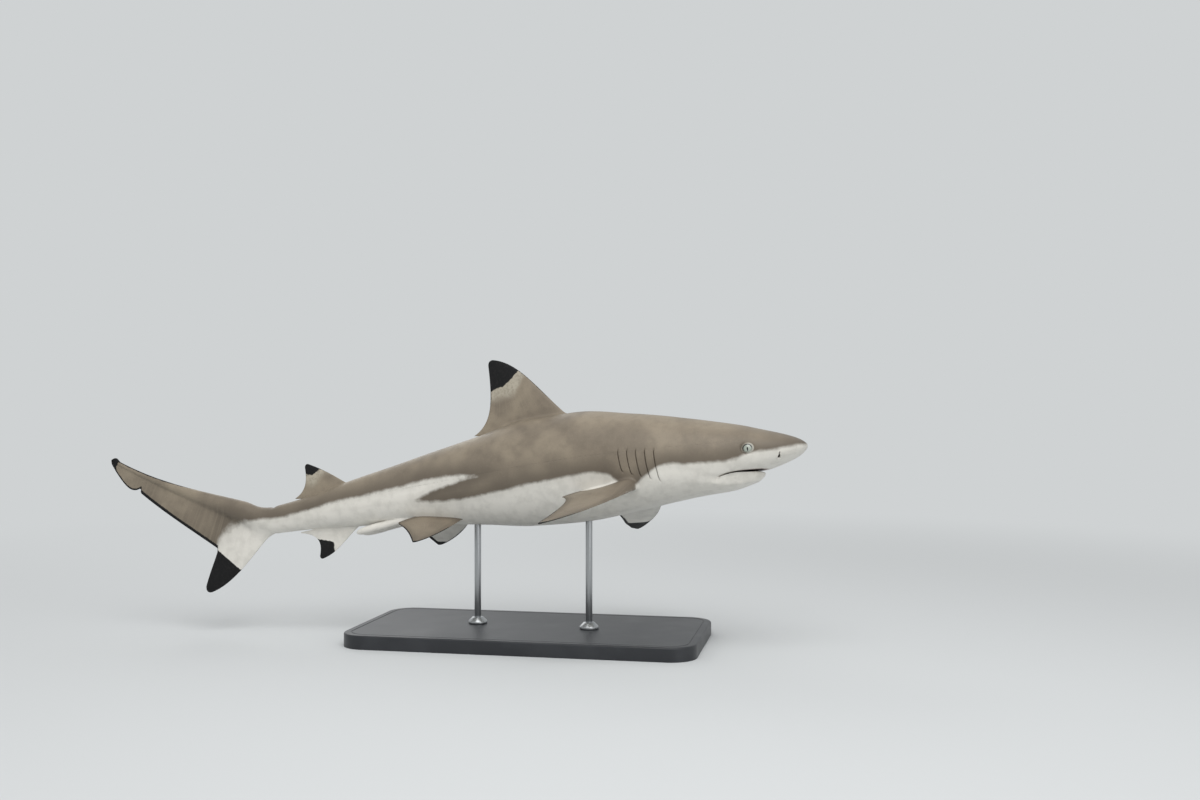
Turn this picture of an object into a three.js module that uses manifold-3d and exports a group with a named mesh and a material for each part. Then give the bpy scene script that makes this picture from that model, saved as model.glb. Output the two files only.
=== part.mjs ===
// Blacktip reef shark, a mature male 1.35 m long, held on a plain display stand.
// The animal is drawn straight first: s runs back from the snout tip, y out to its right side and
// z up, all in hundredths of the total length. The finished pieces are then bent along the spine,
// banked, pitched and stood over the base. Solids are in millimetres, nose to +X, up +Z.
import * as THREE from 'three';
import Module from 'manifold-3d';

const wasm = await Module();
wasm.setup();

const UNIT = 13.5;            // millimetres in one hundredth of the total length
const GAP = 0.3 / UNIT;       // parting gap between neighbouring pieces
const SIDES = 28;             // points round one ring of the body

// ---- pose -------------------------------------------------------------------------------------
const BANK = 7.0 * Math.PI / 180;       // left side down
const PITCH = 7.7 * Math.PI / 180;      // nose up
const SNOUT = { x: 488, y: -26, z: 352 };  // where the snout tip stands over the base, millimetres
const SPINE = [                         // swing of the backbone: over a run of s it turns by so much
  { from: 0, to: 15, turn: 4.5 },
  { from: 15, to: 35, turn: -0.5 },
  { from: 35, to: 55, turn: -12.5 },
  { from: 55, to: 72, turn: 1.0 },
  { from: 72, to: 100, turn: 8.0 },
];
const SNOUT_YAW = 1.0;

// ---- small helpers ----------------------------------------------------------------------------
const lerp = (a, b, t) => a + (b - a) * t;
const clamp = (v, a, b) => Math.min(b, Math.max(a, v));
const ease = (a, b, v) => { const t = clamp((v - a) / (b - a), 0, 1); return t * t * (3 - 2 * t); };
const power = (v, p) => Math.sign(v) * Math.abs(v) ** p;
const bezier = (p, t) => p[0].map((_, k) => (1 - t) ** 3 * p[0][k] + 3 * (1 - t) ** 2 * t * p[1][k]
  + 3 * (1 - t) * t * t * p[2][k] + t ** 3 * p[3][k]);
const along = (p, count) => Array.from({ length: count + 1 }, (_, i) => bezier(p, i / count));

/** Smooth monotone curve through the stations, read in the square root of s so the snout is round. */
function fair(stations, key) {
  const x = stations.map((q) => Math.sqrt(q.s)), y = stations.map((q) => q[key]);
  const d = x.slice(1).map((v, i) => (y[i + 1] - y[i]) / (v - x[i]));
  const m = y.map((_, i) => {
    if (i === 0) return d[0];
    if (i === y.length - 1) return d[i - 1];
    if (d[i - 1] * d[i] <= 0) return 0;
    const a = x[i] - x[i - 1], b = x[i + 1] - x[i];
    return 3 * (a + b) / ((2 * b + a) / d[i - 1] + (b + 2 * a) / d[i]);
  });
  return (s) => {
    const v = Math.sqrt(clamp(s, stations[0].s, stations.at(-1).s));
    let i = 0;
    while (i < x.length - 2 && v > x[i + 1]) i += 1;
    const h = x[i + 1] - x[i], t = (v - x[i]) / h;
    return (1 + 2 * t) * (1 - t) ** 2 * y[i] + t * (1 - t) ** 2 * h * m[i]
      + t * t * (3 - 2 * t) * y[i + 1] + t * t * (t - 1) * h * m[i + 1];
  };
}

// ---- body -------------------------------------------------------------------------------------
const STATIONS = [
  { name: 'snout tip', s: 0, top: -0.05, belly: -0.05, half: 0, mid: -0.05 },
  { name: 'snout round', s: 0.3, top: 0.48, belly: -0.55, half: 1.3, mid: -0.05 },
  { name: 'snout front', s: 1, top: 0.98, belly: -1.08, half: 2.3, mid: -0.08 },
  { name: 'nostrils', s: 3.5, top: 2.05, belly: -2.0, half: 3.65, mid: -0.15 },
  { name: 'mouth front', s: 6, top: 2.92, belly: -2.6, half: 4.3, mid: -0.15 },
  { name: 'eyes', s: 7.2, top: 3.35, belly: -2.85, half: 4.52, mid: -0.1 },
  { name: 'jaw corner', s: 11, top: 4.45, belly: -3.9, half: 5.1, mid: -0.2 },
  { name: 'throat', s: 15, top: 5.5, belly: -4.75, half: 5.5, mid: 0 },
  { name: 'first gill', s: 18, top: 6.25, belly: -5.05, half: 5.75, mid: 0.2 },
  { name: 'pectoral root', s: 22, top: 7.1, belly: -5.5, half: 5.95, mid: 0.5 },
  { name: 'deepest', s: 30, top: 8.38, belly: -6.12, half: 5.95, mid: 1.1 },
  { name: 'dorsal fin', s: 37, top: 8.3, belly: -5.85, half: 5.4, mid: 1.3 },
  { name: 'mid trunk', s: 44, top: 6.95, belly: -4.9, half: 4.6, mid: 1.1 },
  { name: 'pelvic fins', s: 50, top: 5.75, belly: -4.15, half: 3.75, mid: 0.8 },
  { name: 'rear trunk', s: 56, top: 4.4, belly: -3.45, half: 3.0, mid: 0.5 },
  { name: 'tail front', s: 62, top: 3.1, belly: -3.15, half: 2.35, mid: 0 },
  { name: 'tail stem', s: 68, top: 1.6, belly: -2.85, half: 1.8, mid: -0.6 },
  { name: 'tail pit', s: 73.6, top: 0.68, belly: -2.9, half: 1.4, mid: -1.1 },
];
const TOP = fair(STATIONS, 'top'), BELLY = fair(STATIONS, 'belly');
const HALF = fair(STATIONS, 'half'), MID = fair(STATIONS, 'mid');

/** How far the lower jaw hangs below the palate, as a parabolic arch behind the mouth front. */
function jawDrop(s, y) {
  const arch = 5.75 + 5.1 * (y / 4.2) ** 2;
  return 1.05 * ease(arch - 0.2, arch + 0.9, s) * (1 - ease(8, 15.5, s));
}

/** One point of the body's surface: ring angle a (0 at the right side, a quarter turn at the back). */
function bodyPoint(s, a, grow = 0) {
  const c = Math.cos(a), v = Math.sin(a);
  const flat = v > 0 ? 2.0 : lerp(2.7, 2.15, ease(10, 30, s));
  const y = (HALF(s) + grow) * power(c, 2 / flat);
  let z = v > 0 ? (TOP(s) + grow - MID(s)) * power(v, 2 / flat) : (MID(s) - BELLY(s) + grow) * power(v, 2 / flat);
  z += MID(s);
  if (v < 0) z -= jawDrop(s, y) * ease(0, 0.75, -v);
  return [s, y, z];
}
const ringAngles = Array.from({ length: SIDES }, (_, k) => 2 * Math.PI * k / SIDES);
const bodyRing = (s, grow = 0) => ringAngles.map((a) => bodyPoint(s, a, grow));
const SECTIONS = {                    // where the body is parted, and how many rings each piece has
  head: { from: 0, to: 17.2, count: 19 },
  gill_region: { from: 17.2, to: 24.6, count: 6 },
  trunk: { from: 24.6, to: 45.6, count: 10 },
  rear_trunk: { from: 45.6, to: 60.5, count: 7 },
  tail_stem: { from: 60.5, to: 73.6, count: 5 },
};
const ringStations = ({ from, to, count }) => Array.from({ length: count + 1 }, (_, i) =>
  lerp(Math.sqrt(from && from + GAP / 2), Math.sqrt(to - GAP / 2), i / count) ** 2);
const rings = (stations, grow = 0) => stations.map((s) => (s < 1e-6 ? [[-grow, 0, -0.05]] : bodyRing(s, grow)));
const bodyPiece = (name) => loft(rings(ringStations(SECTIONS[name])));

// ---- tail fin ---------------------------------------------------------------------------------
// Ribs run from the upper margin down to the lower outline, fanning through both lobes.
const TAIL = {
  root: { dorsal: [73.6, 0.68], ventral: [73.6, -2.9] },
  lowerFront: [[73.6, -2.9], [75.5, -4.4], [78.8, -8.9], [82.5, -9.85]],
  lowerTip: [[82.5, -9.85], [83.0, -9.95], [83.35, -9.6], [83.25, -9.0]],
  lowerRear: [[83.25, -9.0], [82.7, -7.4], [81.3, -5.4], [81.3, -4.0]],
  upperRear: [[81.4, -4.0], [84.0, -1.8], [88.5, 1.8], [92.1, 4.35]],
  endLobe: [[92.35, 5.55], [93.9, 4.9], [94.8, 6.6], [96.5, 9.3]],
  upperFront: [[73.6, 0.68], [80.0, 3.4], [88.0, 4.9], [96.3, 10.35]],
};
const upperMargin = along(TAIL.upperFront, 60);
const upperAt = (s) => {
  const i = clamp(upperMargin.findIndex((q) => q[0] >= s), 1, upperMargin.length - 1);
  const a = upperMargin[i - 1], b = upperMargin[i];
  return lerp(a[1], b[1], clamp((s - a[0]) / (b[0] - a[0]), 0, 1)) - 0.25 * ease(73.6, 75, s) * (1 - ease(75, 77, s));
};
const RIBS = [                       // upper margin station, lower outline edge and place along it
  [73.6, 'lowerFront', 0], [74.1, 'lowerFront', 0.1], [74.7, 'lowerFront', 0.22],
  [75.3, 'lowerFront', 0.38], [75.9, 'lowerFront', 0.56], [76.5, 'lowerFront', 0.74],
  [77.0, 'lowerFront', 0.9], [77.35, 'lowerTip', 0], [77.7, 'lowerTip', 1],
  [78.05, 'lowerRear', 0.3], [78.4, 'lowerRear', 0.62], [78.9, 'lowerRear', 1],
  [80.2, 'upperRear', 0.16], [82.4, 'upperRear', 0.36], [84.8, 'upperRear', 0.55],
  [87.2, 'upperRear', 0.73], [89.3, 'upperRear', 0.88], [91.0, 'upperRear', 1],
  [91.35, 'endLobe', 0], [92.6, 'endLobe', 0.28], [93.9, 'endLobe', 0.5],
  [95.1, 'endLobe', 0.74], [95.9, 'endLobe', 0.92],
];
const FORK = 11;                     // the rib that ends in the fork parts the two lobes

/** Half thickness of the tail at a height along a rib: a muscle core under the upper margin and a web. */
function tailHalf(rib, down, length) {
  const back = ease(73.6, 95, rib);
  const core = lerp(1.79, 0.28, back ** 0.55), centre = core * 1.0;
  const round = lerp(1.4, 0.2, back ** 0.62);
  const q = (down - centre) / core;
  const muscle = Math.abs(q) < 1 ? round * Math.sqrt(1 - q * q) : 0;
  const edge = clamp(Math.min(down, length - down) / 1.2, 0, 1);
  const web = lerp(0.05, lerp(0.3, 0.1, back), Math.sqrt(edge)) * ease(73.6, 74.4, rib);
  return Math.hypot(muscle, web);
}

function tailRing(index, shift = 0) {
  const [s, edge, t] = RIBS[index];
  const low = bezier(TAIL[edge], t), high = [s, upperAt(s)];
  const len = Math.hypot(low[0] - high[0], low[1] - high[1]);
  const dir = [(low[0] - high[0]) / len, (low[1] - high[1]) / len];
  return ringAngles.map((a) => {
    const down = len * (1 - Math.sin(a)) / 2, side = Math.sign(Math.round(Math.cos(a) * 1e6));
    const half = side * tailHalf(s, down, len);
    return [high[0] + dir[0] * down - dir[1] * shift, half, high[1] + dir[1] * down + dir[0] * shift];
  });
}
function tailPiece(from, to, tip) {
  const rings = [];
  for (let i = from; i <= to; i += 1) {
    const shift = i === from ? GAP / 2 : i === to && !tip ? -GAP / 2 : 0;
    rings.push(tailRing(i, shift));
  }
  if (tip) rings.push([[96.65, 0, 9.95]]);
  return loft(rings);
}

// ---- fins -------------------------------------------------------------------------------------
// Each fin is cut in chords across its span; margins are curves, root to tip, in (s, y, z).
const FINS = {
  first_dorsal_fin: {
    axis: 2, normal: [0, 1, 0], root: 0.62, tip: 0.12, from: 6.3, to: 17.15, rows: 12,
    lead: [[[28.4, 0, 6.0], [33.2, 0, 9.3], [36.2, 0, 16.4], [40.9, 0, 17.2]]],
    trail: [[[41.0, 0, 6.0], [41.8, 0, 6.9], [43.0, 0, 7.05], [44.4, 0, 7.14]],
      [[44.4, 0, 7.14], [41.5, 0, 8.6], [41.4, 0, 11.6], [41.25, 0, 17.1]]],
    dense: [7.0, 7.14, 7.5],
  },
  second_dorsal_fin: {
    axis: 2, normal: [0, 1, 0], root: 0.3, tip: 0.08, from: 1.0, to: 6.1, rows: 7,
    lead: [[[60.0, 0, 1.0], [63.4, 0, 3.4], [64.8, 0, 4.7], [67.45, 0, 6.12]]],
    trail: [[[66.2, 0, 0.9], [67.2, 0, 1.25], [68.4, 0, 1.42], [70.0, 0, 1.5]],
      [[70.0, 0, 1.5], [68.0, 0, 2.5], [68.1, 0, 4.4], [67.65, 0, 6.1]]],
    dense: [1.42, 1.5, 1.7],
  },
  anal_fin: {
    axis: 2, normal: [0, 1, 0], root: 0.28, tip: 0.08, from: -2.2, to: -6.94, rows: 7,
    lead: [[[59.8, 0, -2.2], [62.9, 0, -3.9], [64.0, 0, -6.3], [66.6, 0, -6.98]]],
    trail: [[[66.4, 0, -2.2], [67.2, 0, -3.0], [68.6, 0, -3.08], [70.1, 0, -3.12]],
      [[70.1, 0, -3.12], [66.9, 0, -3.5], [66.4, 0, -4.6], [67.0, 0, -6.96]]],
    dense: [-3.06, -3.12, -3.35],
  },
  pectoral_fin: {
    axis: 1, normal: [-0.16, 0.2, 0.97], root: 0.5, tip: 0.08, from: 3.2, to: 20.75, rows: 13,
    lead: [[[20.6, 3.0, -2.5], [21.4, 9.8, -3.9], [24.0, 17.4, -6.0], [28.7, 20.8, -6.8]]],
    trail: [[[26.2, 3.0, -1.0], [27.8, 5.0, -1.5], [29.3, 6.8, -2.5], [30.1, 8.2, -3.15]],
      [[30.1, 8.2, -3.15], [27.7, 10.6, -3.8], [28.6, 16.5, -5.6], [29.2, 20.8, -6.82]]],
    dense: [7.6, 8.2, 8.8],
  },
  pelvic_fin: {
    axis: 1, normal: [-0.1, 0.33, 0.94], root: 0.26, tip: 0.07, from: 1.35, to: 7.55, rows: 8,
    lead: [[[46.0, 1.3, -3.5], [47.2, 3.2, -4.6], [49.6, 6.0, -6.1], [51.9, 7.6, -6.5]]],
    trail: [[[51.7, 1.3, -2.7], [53.2, 2.2, -2.9], [54.4, 2.8, -3.2], [55.2, 3.4, -3.6]],
      [[55.2, 3.4, -3.6], [53.5, 4.4, -4.5], [52.9, 6.2, -5.8], [52.3, 7.6, -6.52]]],
    dense: [3.1, 3.4, 3.7],
  },
};
const CHORD = [0, 0.025, 0.11, 0.28, 0.5, 0.74, 0.92, 1];

/** Where a fin margin crosses a level of the fin's span axis. */
function cross(margin, axis, level) {
  const pts = margin.flatMap((b) => along(b, 24));
  const up = pts.at(-1)[axis] > pts[0][axis] ? 1 : -1;
  for (let i = 1; i < pts.length; i += 1) {
    if ((pts[i][axis] - level) * up >= 0) {
      const a = pts[i - 1], b = pts[i], t = (level - a[axis]) / (b[axis] - a[axis] || 1e-9);
      return a.map((v, k) => lerp(v, b[k], clamp(t, 0, 1)));
    }
  }
  return pts.at(-1);
}

function fin(spec, grow = 0) {
  const levels = Array.from({ length: spec.rows + 1 }, (_, i) => {
    const t = i / spec.rows;
    return lerp(spec.from, spec.to, Math.sin(t * Math.PI / 2) ** 0.9);
  });
  const all = [...levels, ...spec.dense].sort((a, b) => (spec.to > spec.from ? a - b : b - a));
  const rings = all.map((level) => {
    const t = clamp((level - spec.from) / (spec.to - spec.from), 0, 1);
    const a = cross(spec.lead, spec.axis, level), b = cross(spec.trail, spec.axis, level);
    const thick = lerp(spec.root, spec.tip, t ** 0.7) + grow;
    const at = (c, side) => {
      const half = side * Math.max(thick * 1.9 * Math.sqrt(c) * (1 - c) ** 0.9, c === 0 ? 0 : 0.04 + grow);
      return a.map((v, k) => lerp(v, b[k], c) + spec.normal[k] * half);
    };
    const over = CHORD.map((c) => at(c, 1)), under = CHORD.slice(1).map((c) => at(c, -1)).reverse();
    return [...over, ...under];
  });
  return loft(rings);
}

// ---- mesh building ----------------------------------------------------------------------------
/** Closes a run of rings into one body; a ring of a single point is an apex. */
function loft(rings) {
  const verts = [], faces = [], starts = [];
  for (const ring of rings) { starts.push(verts.length); verts.push(...ring); }
  const size = (i) => rings[i].length;
  for (let i = 0; i + 1 < rings.length; i += 1) {
    const n = Math.max(size(i), size(i + 1)), a = starts[i], b = starts[i + 1];
    for (let k = 0; k < n; k += 1) {
      const j = (k + 1) % n;
      if (size(i) === 1) faces.push([a, b + j, b + k]);
      else if (size(i + 1) === 1) faces.push([a + k, a + j, b]);
      else faces.push([a + k, a + j, b + j], [a + k, b + j, b + k]);
    }
  }
  const cap = (i, flip) => {
    if (size(i) === 1) return;
    const centre = rings[i][0].map((_, k) => rings[i].reduce((q, p) => q + p[k], 0) / size(i));
    const c = verts.push(centre) - 1;
    for (let k = 0; k < size(i); k += 1) {
      const j = starts[i] + (k + 1) % size(i), m = starts[i] + k;
      faces.push(flip ? [c, j, m] : [c, m, j]);
    }
  };
  cap(0, true); cap(rings.length - 1, false);
  const mesh = { verts, faces };
  if (volume(mesh) < 0) mesh.faces = faces.map(([p, q, r]) => [p, r, q]);
  return mesh;
}
function volume({ verts, faces }) {
  return faces.reduce((sum, [i, j, k]) => {
    const a = verts[i], b = verts[j], c = verts[k];
    return sum + a[0] * (b[1] * c[2] - b[2] * c[1]) - a[1] * (b[0] * c[2] - b[2] * c[0])
      + a[2] * (b[0] * c[1] - b[1] * c[0]);
  }, 0) / 6;
}
function solid({ verts, faces }) {
  const mesh = new wasm.Mesh({
    numProp: 3, vertProperties: Float32Array.from(verts.flat().map((v) => v * UNIT)),
    triVerts: Uint32Array.from(faces.flat()),
  });
  mesh.merge();
  return new wasm.Manifold(mesh);
}
const mirrored = ({ verts, faces }) => ({
  verts: verts.map(([s, y, z]) => [s, -y, z]), faces: faces.map(([a, b, c]) => [a, c, b]),
});
function ball(centre, radius, rows, columns) {
  const rings = [[[centre[0], centre[1], centre[2] - radius[2]]]];
  for (let i = 1; i < rows; i += 1) {
    const e = Math.PI * (i / rows - 0.5);
    rings.push(Array.from({ length: columns }, (_, k) => {
      const a = 2 * Math.PI * k / columns;
      return [centre[0] + radius[0] * Math.cos(e) * Math.cos(a), centre[1] + radius[1] * Math.cos(e) * Math.sin(a),
        centre[2] + radius[2] * Math.sin(e)];
    }));
  }
  rings.push([[centre[0], centre[1], centre[2] + radius[2]]]);
  return loft(rings);
}
/** A bar of square section between two points, for thin cuts. */
function bar(a, b, wide, deep) {
  const d = [b[0] - a[0], b[1] - a[1], b[2] - a[2]], l = Math.hypot(...d), u = d.map((v) => v / l);
  const side = Math.abs(u[2]) > 0.9 ? [1, 0, 0] : [0, 0, 1];
  const w = cross3(u, side), n = Math.hypot(...w), wu = w.map((v) => v / n), vu = cross3(wu, u);
  const ring = (p) => [[-1, -1], [1, -1], [1, 1], [-1, 1]].map(([i, j]) =>
    p.map((v, k) => v + wu[k] * i * wide / 2 + vu[k] * j * deep / 2));
  return loft([ring(a), ring(b)]);
}
const cross3 = (a, b) => [a[1] * b[2] - a[2] * b[1], a[2] * b[0] - a[0] * b[2], a[0] * b[1] - a[1] * b[0]];

// ---- pose of the finished pieces ----------------------------------------------------------------
const spineStep = 0.25, spine = [];
{
  const heading = (s) => SPINE.reduce((q, r) => q + r.turn * ease(r.from, r.to, s), SNOUT_YAW) * Math.PI / 180;
  let x = 0, y = 0;
  for (let i = 0; i <= 404; i += 1) {
    const s = i * spineStep, h = heading(s);
    if (i) { const g = heading(s - spineStep / 2); x -= Math.cos(g) * spineStep; y += Math.sin(g) * spineStep; }
    spine.push({ x, y, h });
  }
}
function pose(p) {
  const s = p[0] / UNIT, right = p[1] / UNIT, z = p[2] / UNIT;
  const i = clamp(Math.floor(s / spineStep), 0, spine.length - 2), t = s / spineStep - i;
  const a = spine[i], b = spine[i + 1];
  const h = lerp(a.h, b.h, clamp(t, 0, 1));
  const x = lerp(a.x, b.x, t) - right * Math.sin(h), y = lerp(a.y, b.y, t) - right * Math.cos(h);
  const cb = Math.cos(BANK), sb = Math.sin(BANK), cp = Math.cos(PITCH), sp = Math.sin(PITCH);
  const yb = y * cb + z * sb, zb = -y * sb + z * cb;
  return [(x * cp - zb * sp) * UNIT + SNOUT.x, yb * UNIT + SNOUT.y, (x * sp + zb * cp) * UNIT + SNOUT.z];
}

const PAINTS = {                      // finish of each kind of piece
  head: [0x7d7468, 0.5], lower_jaw: [0xe6e4dd, 0.5], eye: [0x9aa79c, 0.1], clasper: [0xd6d0c4, 0.5],
  fin: [0x6e675e, 0.5], stand_base: [0x2b2c2e, 0.45], stand: [0xb8babd, 0.3], flesh: [0x857c70, 0.5],
};
function paint(name) {
  const kind = Object.keys(PAINTS).find((k) => name.includes(k)) ?? 'flesh';
  const [color, roughness] = PAINTS[kind];
  return new THREE.MeshStandardMaterial({ color, roughness, metalness: kind === 'stand' ? 0.9 : 0 });
}

const group = new THREE.Group();
function add(name, manifold) {
  const mesh = manifold.getMesh(), n = mesh.numProp, position = new Float32Array(mesh.triVerts.length * 3);
  mesh.triVerts.forEach((v, i) => {
    const p = pose([mesh.vertProperties[v * n], mesh.vertProperties[v * n + 1], mesh.vertProperties[v * n + 2]]);
    position.set(p, i * 3);
  });
  const geometry = new THREE.BufferGeometry();
  geometry.setAttribute('position', new THREE.BufferAttribute(position, 3));
  geometry.computeVertexNormals();
  const part = new THREE.Mesh(geometry, paint(name));
  part.name = name;
  group.add(part);
}

// ---- flesh ------------------------------------------------------------------------------------
const grown = solid(loft(rings(Object.values(SECTIONS).flatMap(ringStations), GAP * 1.3)));

const EYE = { s: 7.1, y: 3.82, z: 0.12, r: 0.84 };
const NOSTRIL = { s: 3.55, y: 3.05, z: -1.35 };

// Mouth: a thin wedge under the palate, open at the front of the arch and shut at the corners.
const MOUTH = { front: 5.3, level: 6.5, corner: 11.1, roof: -2.4, fall: 0.58, open: 0.34, wide: 6 };
const roofOfMouth = (s) => MOUTH.roof
  - MOUTH.fall * (Math.max(0, s - MOUTH.level) / (MOUTH.corner - MOUTH.level)) ** 2;
function mouthWedge() {
  const slices = Array.from({ length: 7 }, (_, i) => {
    const s = lerp(MOUTH.front, MOUTH.corner, i / 6), roof = roofOfMouth(s);
    const gap = lerp(MOUTH.open, 1.6 * GAP, ease(5.8, 9.6, s)), w = MOUTH.wide;
    return [[s, -w, roof], [s, w, roof], [s, w, roof - gap], [s, -w, roof - gap]];
  });
  return loft(slices);
}
const jawBack = loft([MOUTH.corner - GAP, MOUTH.corner].map((s) => {
  const w = MOUTH.wide, top = roofOfMouth(s) - 0.01;
  return [[s, -w, top], [s, w, top], [s, w, -7], [s, -w, -7]];
}));

let head = solid(bodyPiece('head')).subtract(solid(mouthWedge())).subtract(solid(jawBack));
for (const side of [1, -1]) {
  head = head.subtract(solid(ball([EYE.s, side * EYE.y, EYE.z], [EYE.r + GAP, EYE.r + GAP, EYE.r + GAP], 8, 12)));
  head = head.subtract(solid(bar([NOSTRIL.s - 0.35, side * (NOSTRIL.y + 0.35), NOSTRIL.z + 0.25],
    [NOSTRIL.s + 0.3, side * (NOSTRIL.y - 0.5), NOSTRIL.z - 0.25], 0.22, 0.8)));
}
const parts = head.decompose().sort((a, b) => b.volume() - a.volume());
add('head', parts[0]);
add('lower_jaw', parts[1]);

let gills = solid(bodyPiece('gill_region'));
for (let i = 0; i < 5; i += 1) {
  for (const side of [1, -1]) {
    const s = 18.0 + 1.15 * i, tall = 2.15 - 0.16 * i, z = -0.55 + 0.28 * i, out = 5.72;
    gills = gills.subtract(solid(bar([s - 0.25, side * out, z - tall], [s + 0.1, side * (out + 0.1), z + tall], 0.7, 0.11)));
  }
}
add('gill_region', gills);
for (const name of ['trunk', 'rear_trunk', 'tail_stem']) add(name, solid(bodyPiece(name)));
add('caudal_fin_lower_lobe', solid(tailPiece(0, FORK, false)));
add('caudal_fin_upper_lobe', solid(tailPiece(FORK, RIBS.length - 1, true)));

for (const name of ['first_dorsal_fin', 'second_dorsal_fin', 'anal_fin']) {
  const whole = solid(fin(FINS[name])).subtract(grown);
  add(name, whole.decompose().sort((a, b) => b.volume() - a.volume())[0]);
}
for (const [side, flip] of [['right', (m) => m], ['left', mirrored]]) {
  for (const name of ['pectoral_fin', 'pelvic_fin']) {
    const whole = solid(flip(fin(FINS[name]))).subtract(grown);
    add(`${name}_${side}`, whole.decompose().sort((a, b) => b.volume() - a.volume())[0]);
  }
  const rod = [0, 0.2, 0.45, 0.7, 0.85, 0.95].map((t) => {
    const c = [lerp(53.0, 61.35, t), lerp(1.25, 1.45, t), lerp(-2.75, -4.12, t)];
    const r = lerp(0.62, 0.5, t) * Math.sqrt(1 - clamp((t - 0.85) / 0.15, 0, 1) ** 2);
    return Array.from({ length: 12 }, (_, k) => {
      const a = 2 * Math.PI * k / 12;
      return [c[0] - r * 0.16 * Math.sin(a), c[1] + r * Math.cos(a), c[2] + r * Math.sin(a)];
    });
  });
  const clasper = solid(flip(loft([...rod, [[61.35, 1.45, -4.12]]])))
    .subtract(grown).subtract(solid(flip(fin(FINS.pelvic_fin, GAP))));
  add(`clasper_${side}`, clasper.decompose().sort((a, b) => b.volume() - a.volume())[0]);
  add(`eye_${side}`, solid(flip(ball([EYE.s, EYE.y, EYE.z], [EYE.r, EYE.r, EYE.r], 8, 12))));
}

// ---- stand ------------------------------------------------------------------------------------
const STAND = {
  base: { length: 620, width: 300, thick: 24, corner: 46, chamfer: 3 },
  rods: [{ at: 'front', s: 29.5 }, { at: 'rear', s: 45.0 }],
  rod: { radius: 6, short: 3.5 },
  collar: { radius: 17, height: 12, chamfer: 3 },
};
function place(name, geometry, x, y, z) {
  const part = new THREE.Mesh(geometry, paint(name));
  part.name = name;
  part.position.set(x, y, z);
  group.add(part);
}
{
  const { length, width, thick, corner, chamfer } = STAND.base;
  const l = length / 2 - chamfer, w = width / 2 - chamfer, c = corner - chamfer;
  const outline = new THREE.Shape();
  outline.absarc(l - c, w - c, c, 0, Math.PI / 2);
  outline.absarc(c - l, w - c, c, Math.PI / 2, Math.PI);
  outline.absarc(c - l, c - w, c, Math.PI, 1.5 * Math.PI);
  outline.absarc(l - c, c - w, c, 1.5 * Math.PI, 2 * Math.PI);
  place('stand_base', new THREE.ExtrudeGeometry(outline, {
    depth: thick - 2 * chamfer, bevelThickness: chamfer, bevelSize: chamfer, bevelSegments: 1, curveSegments: 4,
  }), 0, 0, chamfer);

  const { radius, height, chamfer: edge } = STAND.collar, bore = STAND.rod.radius + 0.3;
  const profile = [[bore, 0], [radius, 0], [radius, height - edge], [radius - edge, height], [bore, height], [bore, 0]];
  for (const { at, s } of STAND.rods) {
    const [x, y, z] = pose([s * UNIT, 0, BELLY(s) * UNIT]), foot = thick + 0.3;
    const collar = new THREE.LatheGeometry(profile.map(([r, h]) => new THREE.Vector2(r, h)), 16);
    place(`stand_collar_${at}`, collar.rotateX(Math.PI / 2), x, y, foot);
    const long = z - STAND.rod.short - foot;
    const rod = new THREE.CylinderGeometry(STAND.rod.radius, STAND.rod.radius, long, 16);
    place(`stand_rod_${at}`, rod.rotateX(Math.PI / 2), x, y, foot + long / 2);
  }
}

export default group;
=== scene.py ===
import logging
import math
from dataclasses import dataclass, field
from enum import Enum, IntEnum
from functools import cached_property

import bpy
import numpy as np
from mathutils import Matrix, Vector


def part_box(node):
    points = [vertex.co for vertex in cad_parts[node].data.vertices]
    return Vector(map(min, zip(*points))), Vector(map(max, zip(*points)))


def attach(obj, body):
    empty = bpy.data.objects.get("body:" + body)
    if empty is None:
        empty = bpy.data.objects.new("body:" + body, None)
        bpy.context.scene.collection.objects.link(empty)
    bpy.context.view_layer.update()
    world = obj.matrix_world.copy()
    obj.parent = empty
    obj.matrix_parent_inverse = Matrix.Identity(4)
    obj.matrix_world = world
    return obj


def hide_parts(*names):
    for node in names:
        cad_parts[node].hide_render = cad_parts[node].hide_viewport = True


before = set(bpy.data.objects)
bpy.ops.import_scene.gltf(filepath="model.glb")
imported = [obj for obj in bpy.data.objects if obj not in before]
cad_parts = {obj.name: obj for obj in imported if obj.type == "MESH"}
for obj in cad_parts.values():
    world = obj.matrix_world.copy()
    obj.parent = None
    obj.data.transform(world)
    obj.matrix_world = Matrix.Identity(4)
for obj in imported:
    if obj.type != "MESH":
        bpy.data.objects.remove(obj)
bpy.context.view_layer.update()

LOG = logging.getLogger("blacktip_reef_shark")
UNIT = 0.0135           # metres in one hundredth of the animal's total length
MM = 1000 * UNIT        # millimetres in the same
TAIL_PIT = 73.6         # station where the body ends and the tail fin starts
DENSE = 300             # points along a fin's margin
ROUND = 40              # points round its tip
HALVINGS = 42           # rounds of the search for a level on a fin
SMALL = 1e-6            # keeps a division off zero
HAIR = 1e-5             # metres within which two levels are the same
Array = np.ndarray
Mesh, Piece, Material = bpy.types.Mesh, bpy.types.Object, bpy.types.Material
Node, Socket, NodeTree = bpy.types.Node, bpy.types.NodeSocket, bpy.types.NodeTree


# ---- measures and curves ------------------------------------------------------------------------
def lerp(a: float, b: float, t: Array) -> Array:
    """Straight mix of a and b by t."""
    return a + (b - a) * t


def ease(a: float, b: float, v: Array) -> Array:
    """Smooth step of v from 0 at a to 1 at b."""
    t = np.clip((v - a) / (b - a), 0.0, 1.0)
    return t * t * (3 - 2 * t)


def power(v: Array, p: Array) -> Array:
    """Power of a number that keeps its sign."""
    return np.sign(v) * np.abs(v) ** p


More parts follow.
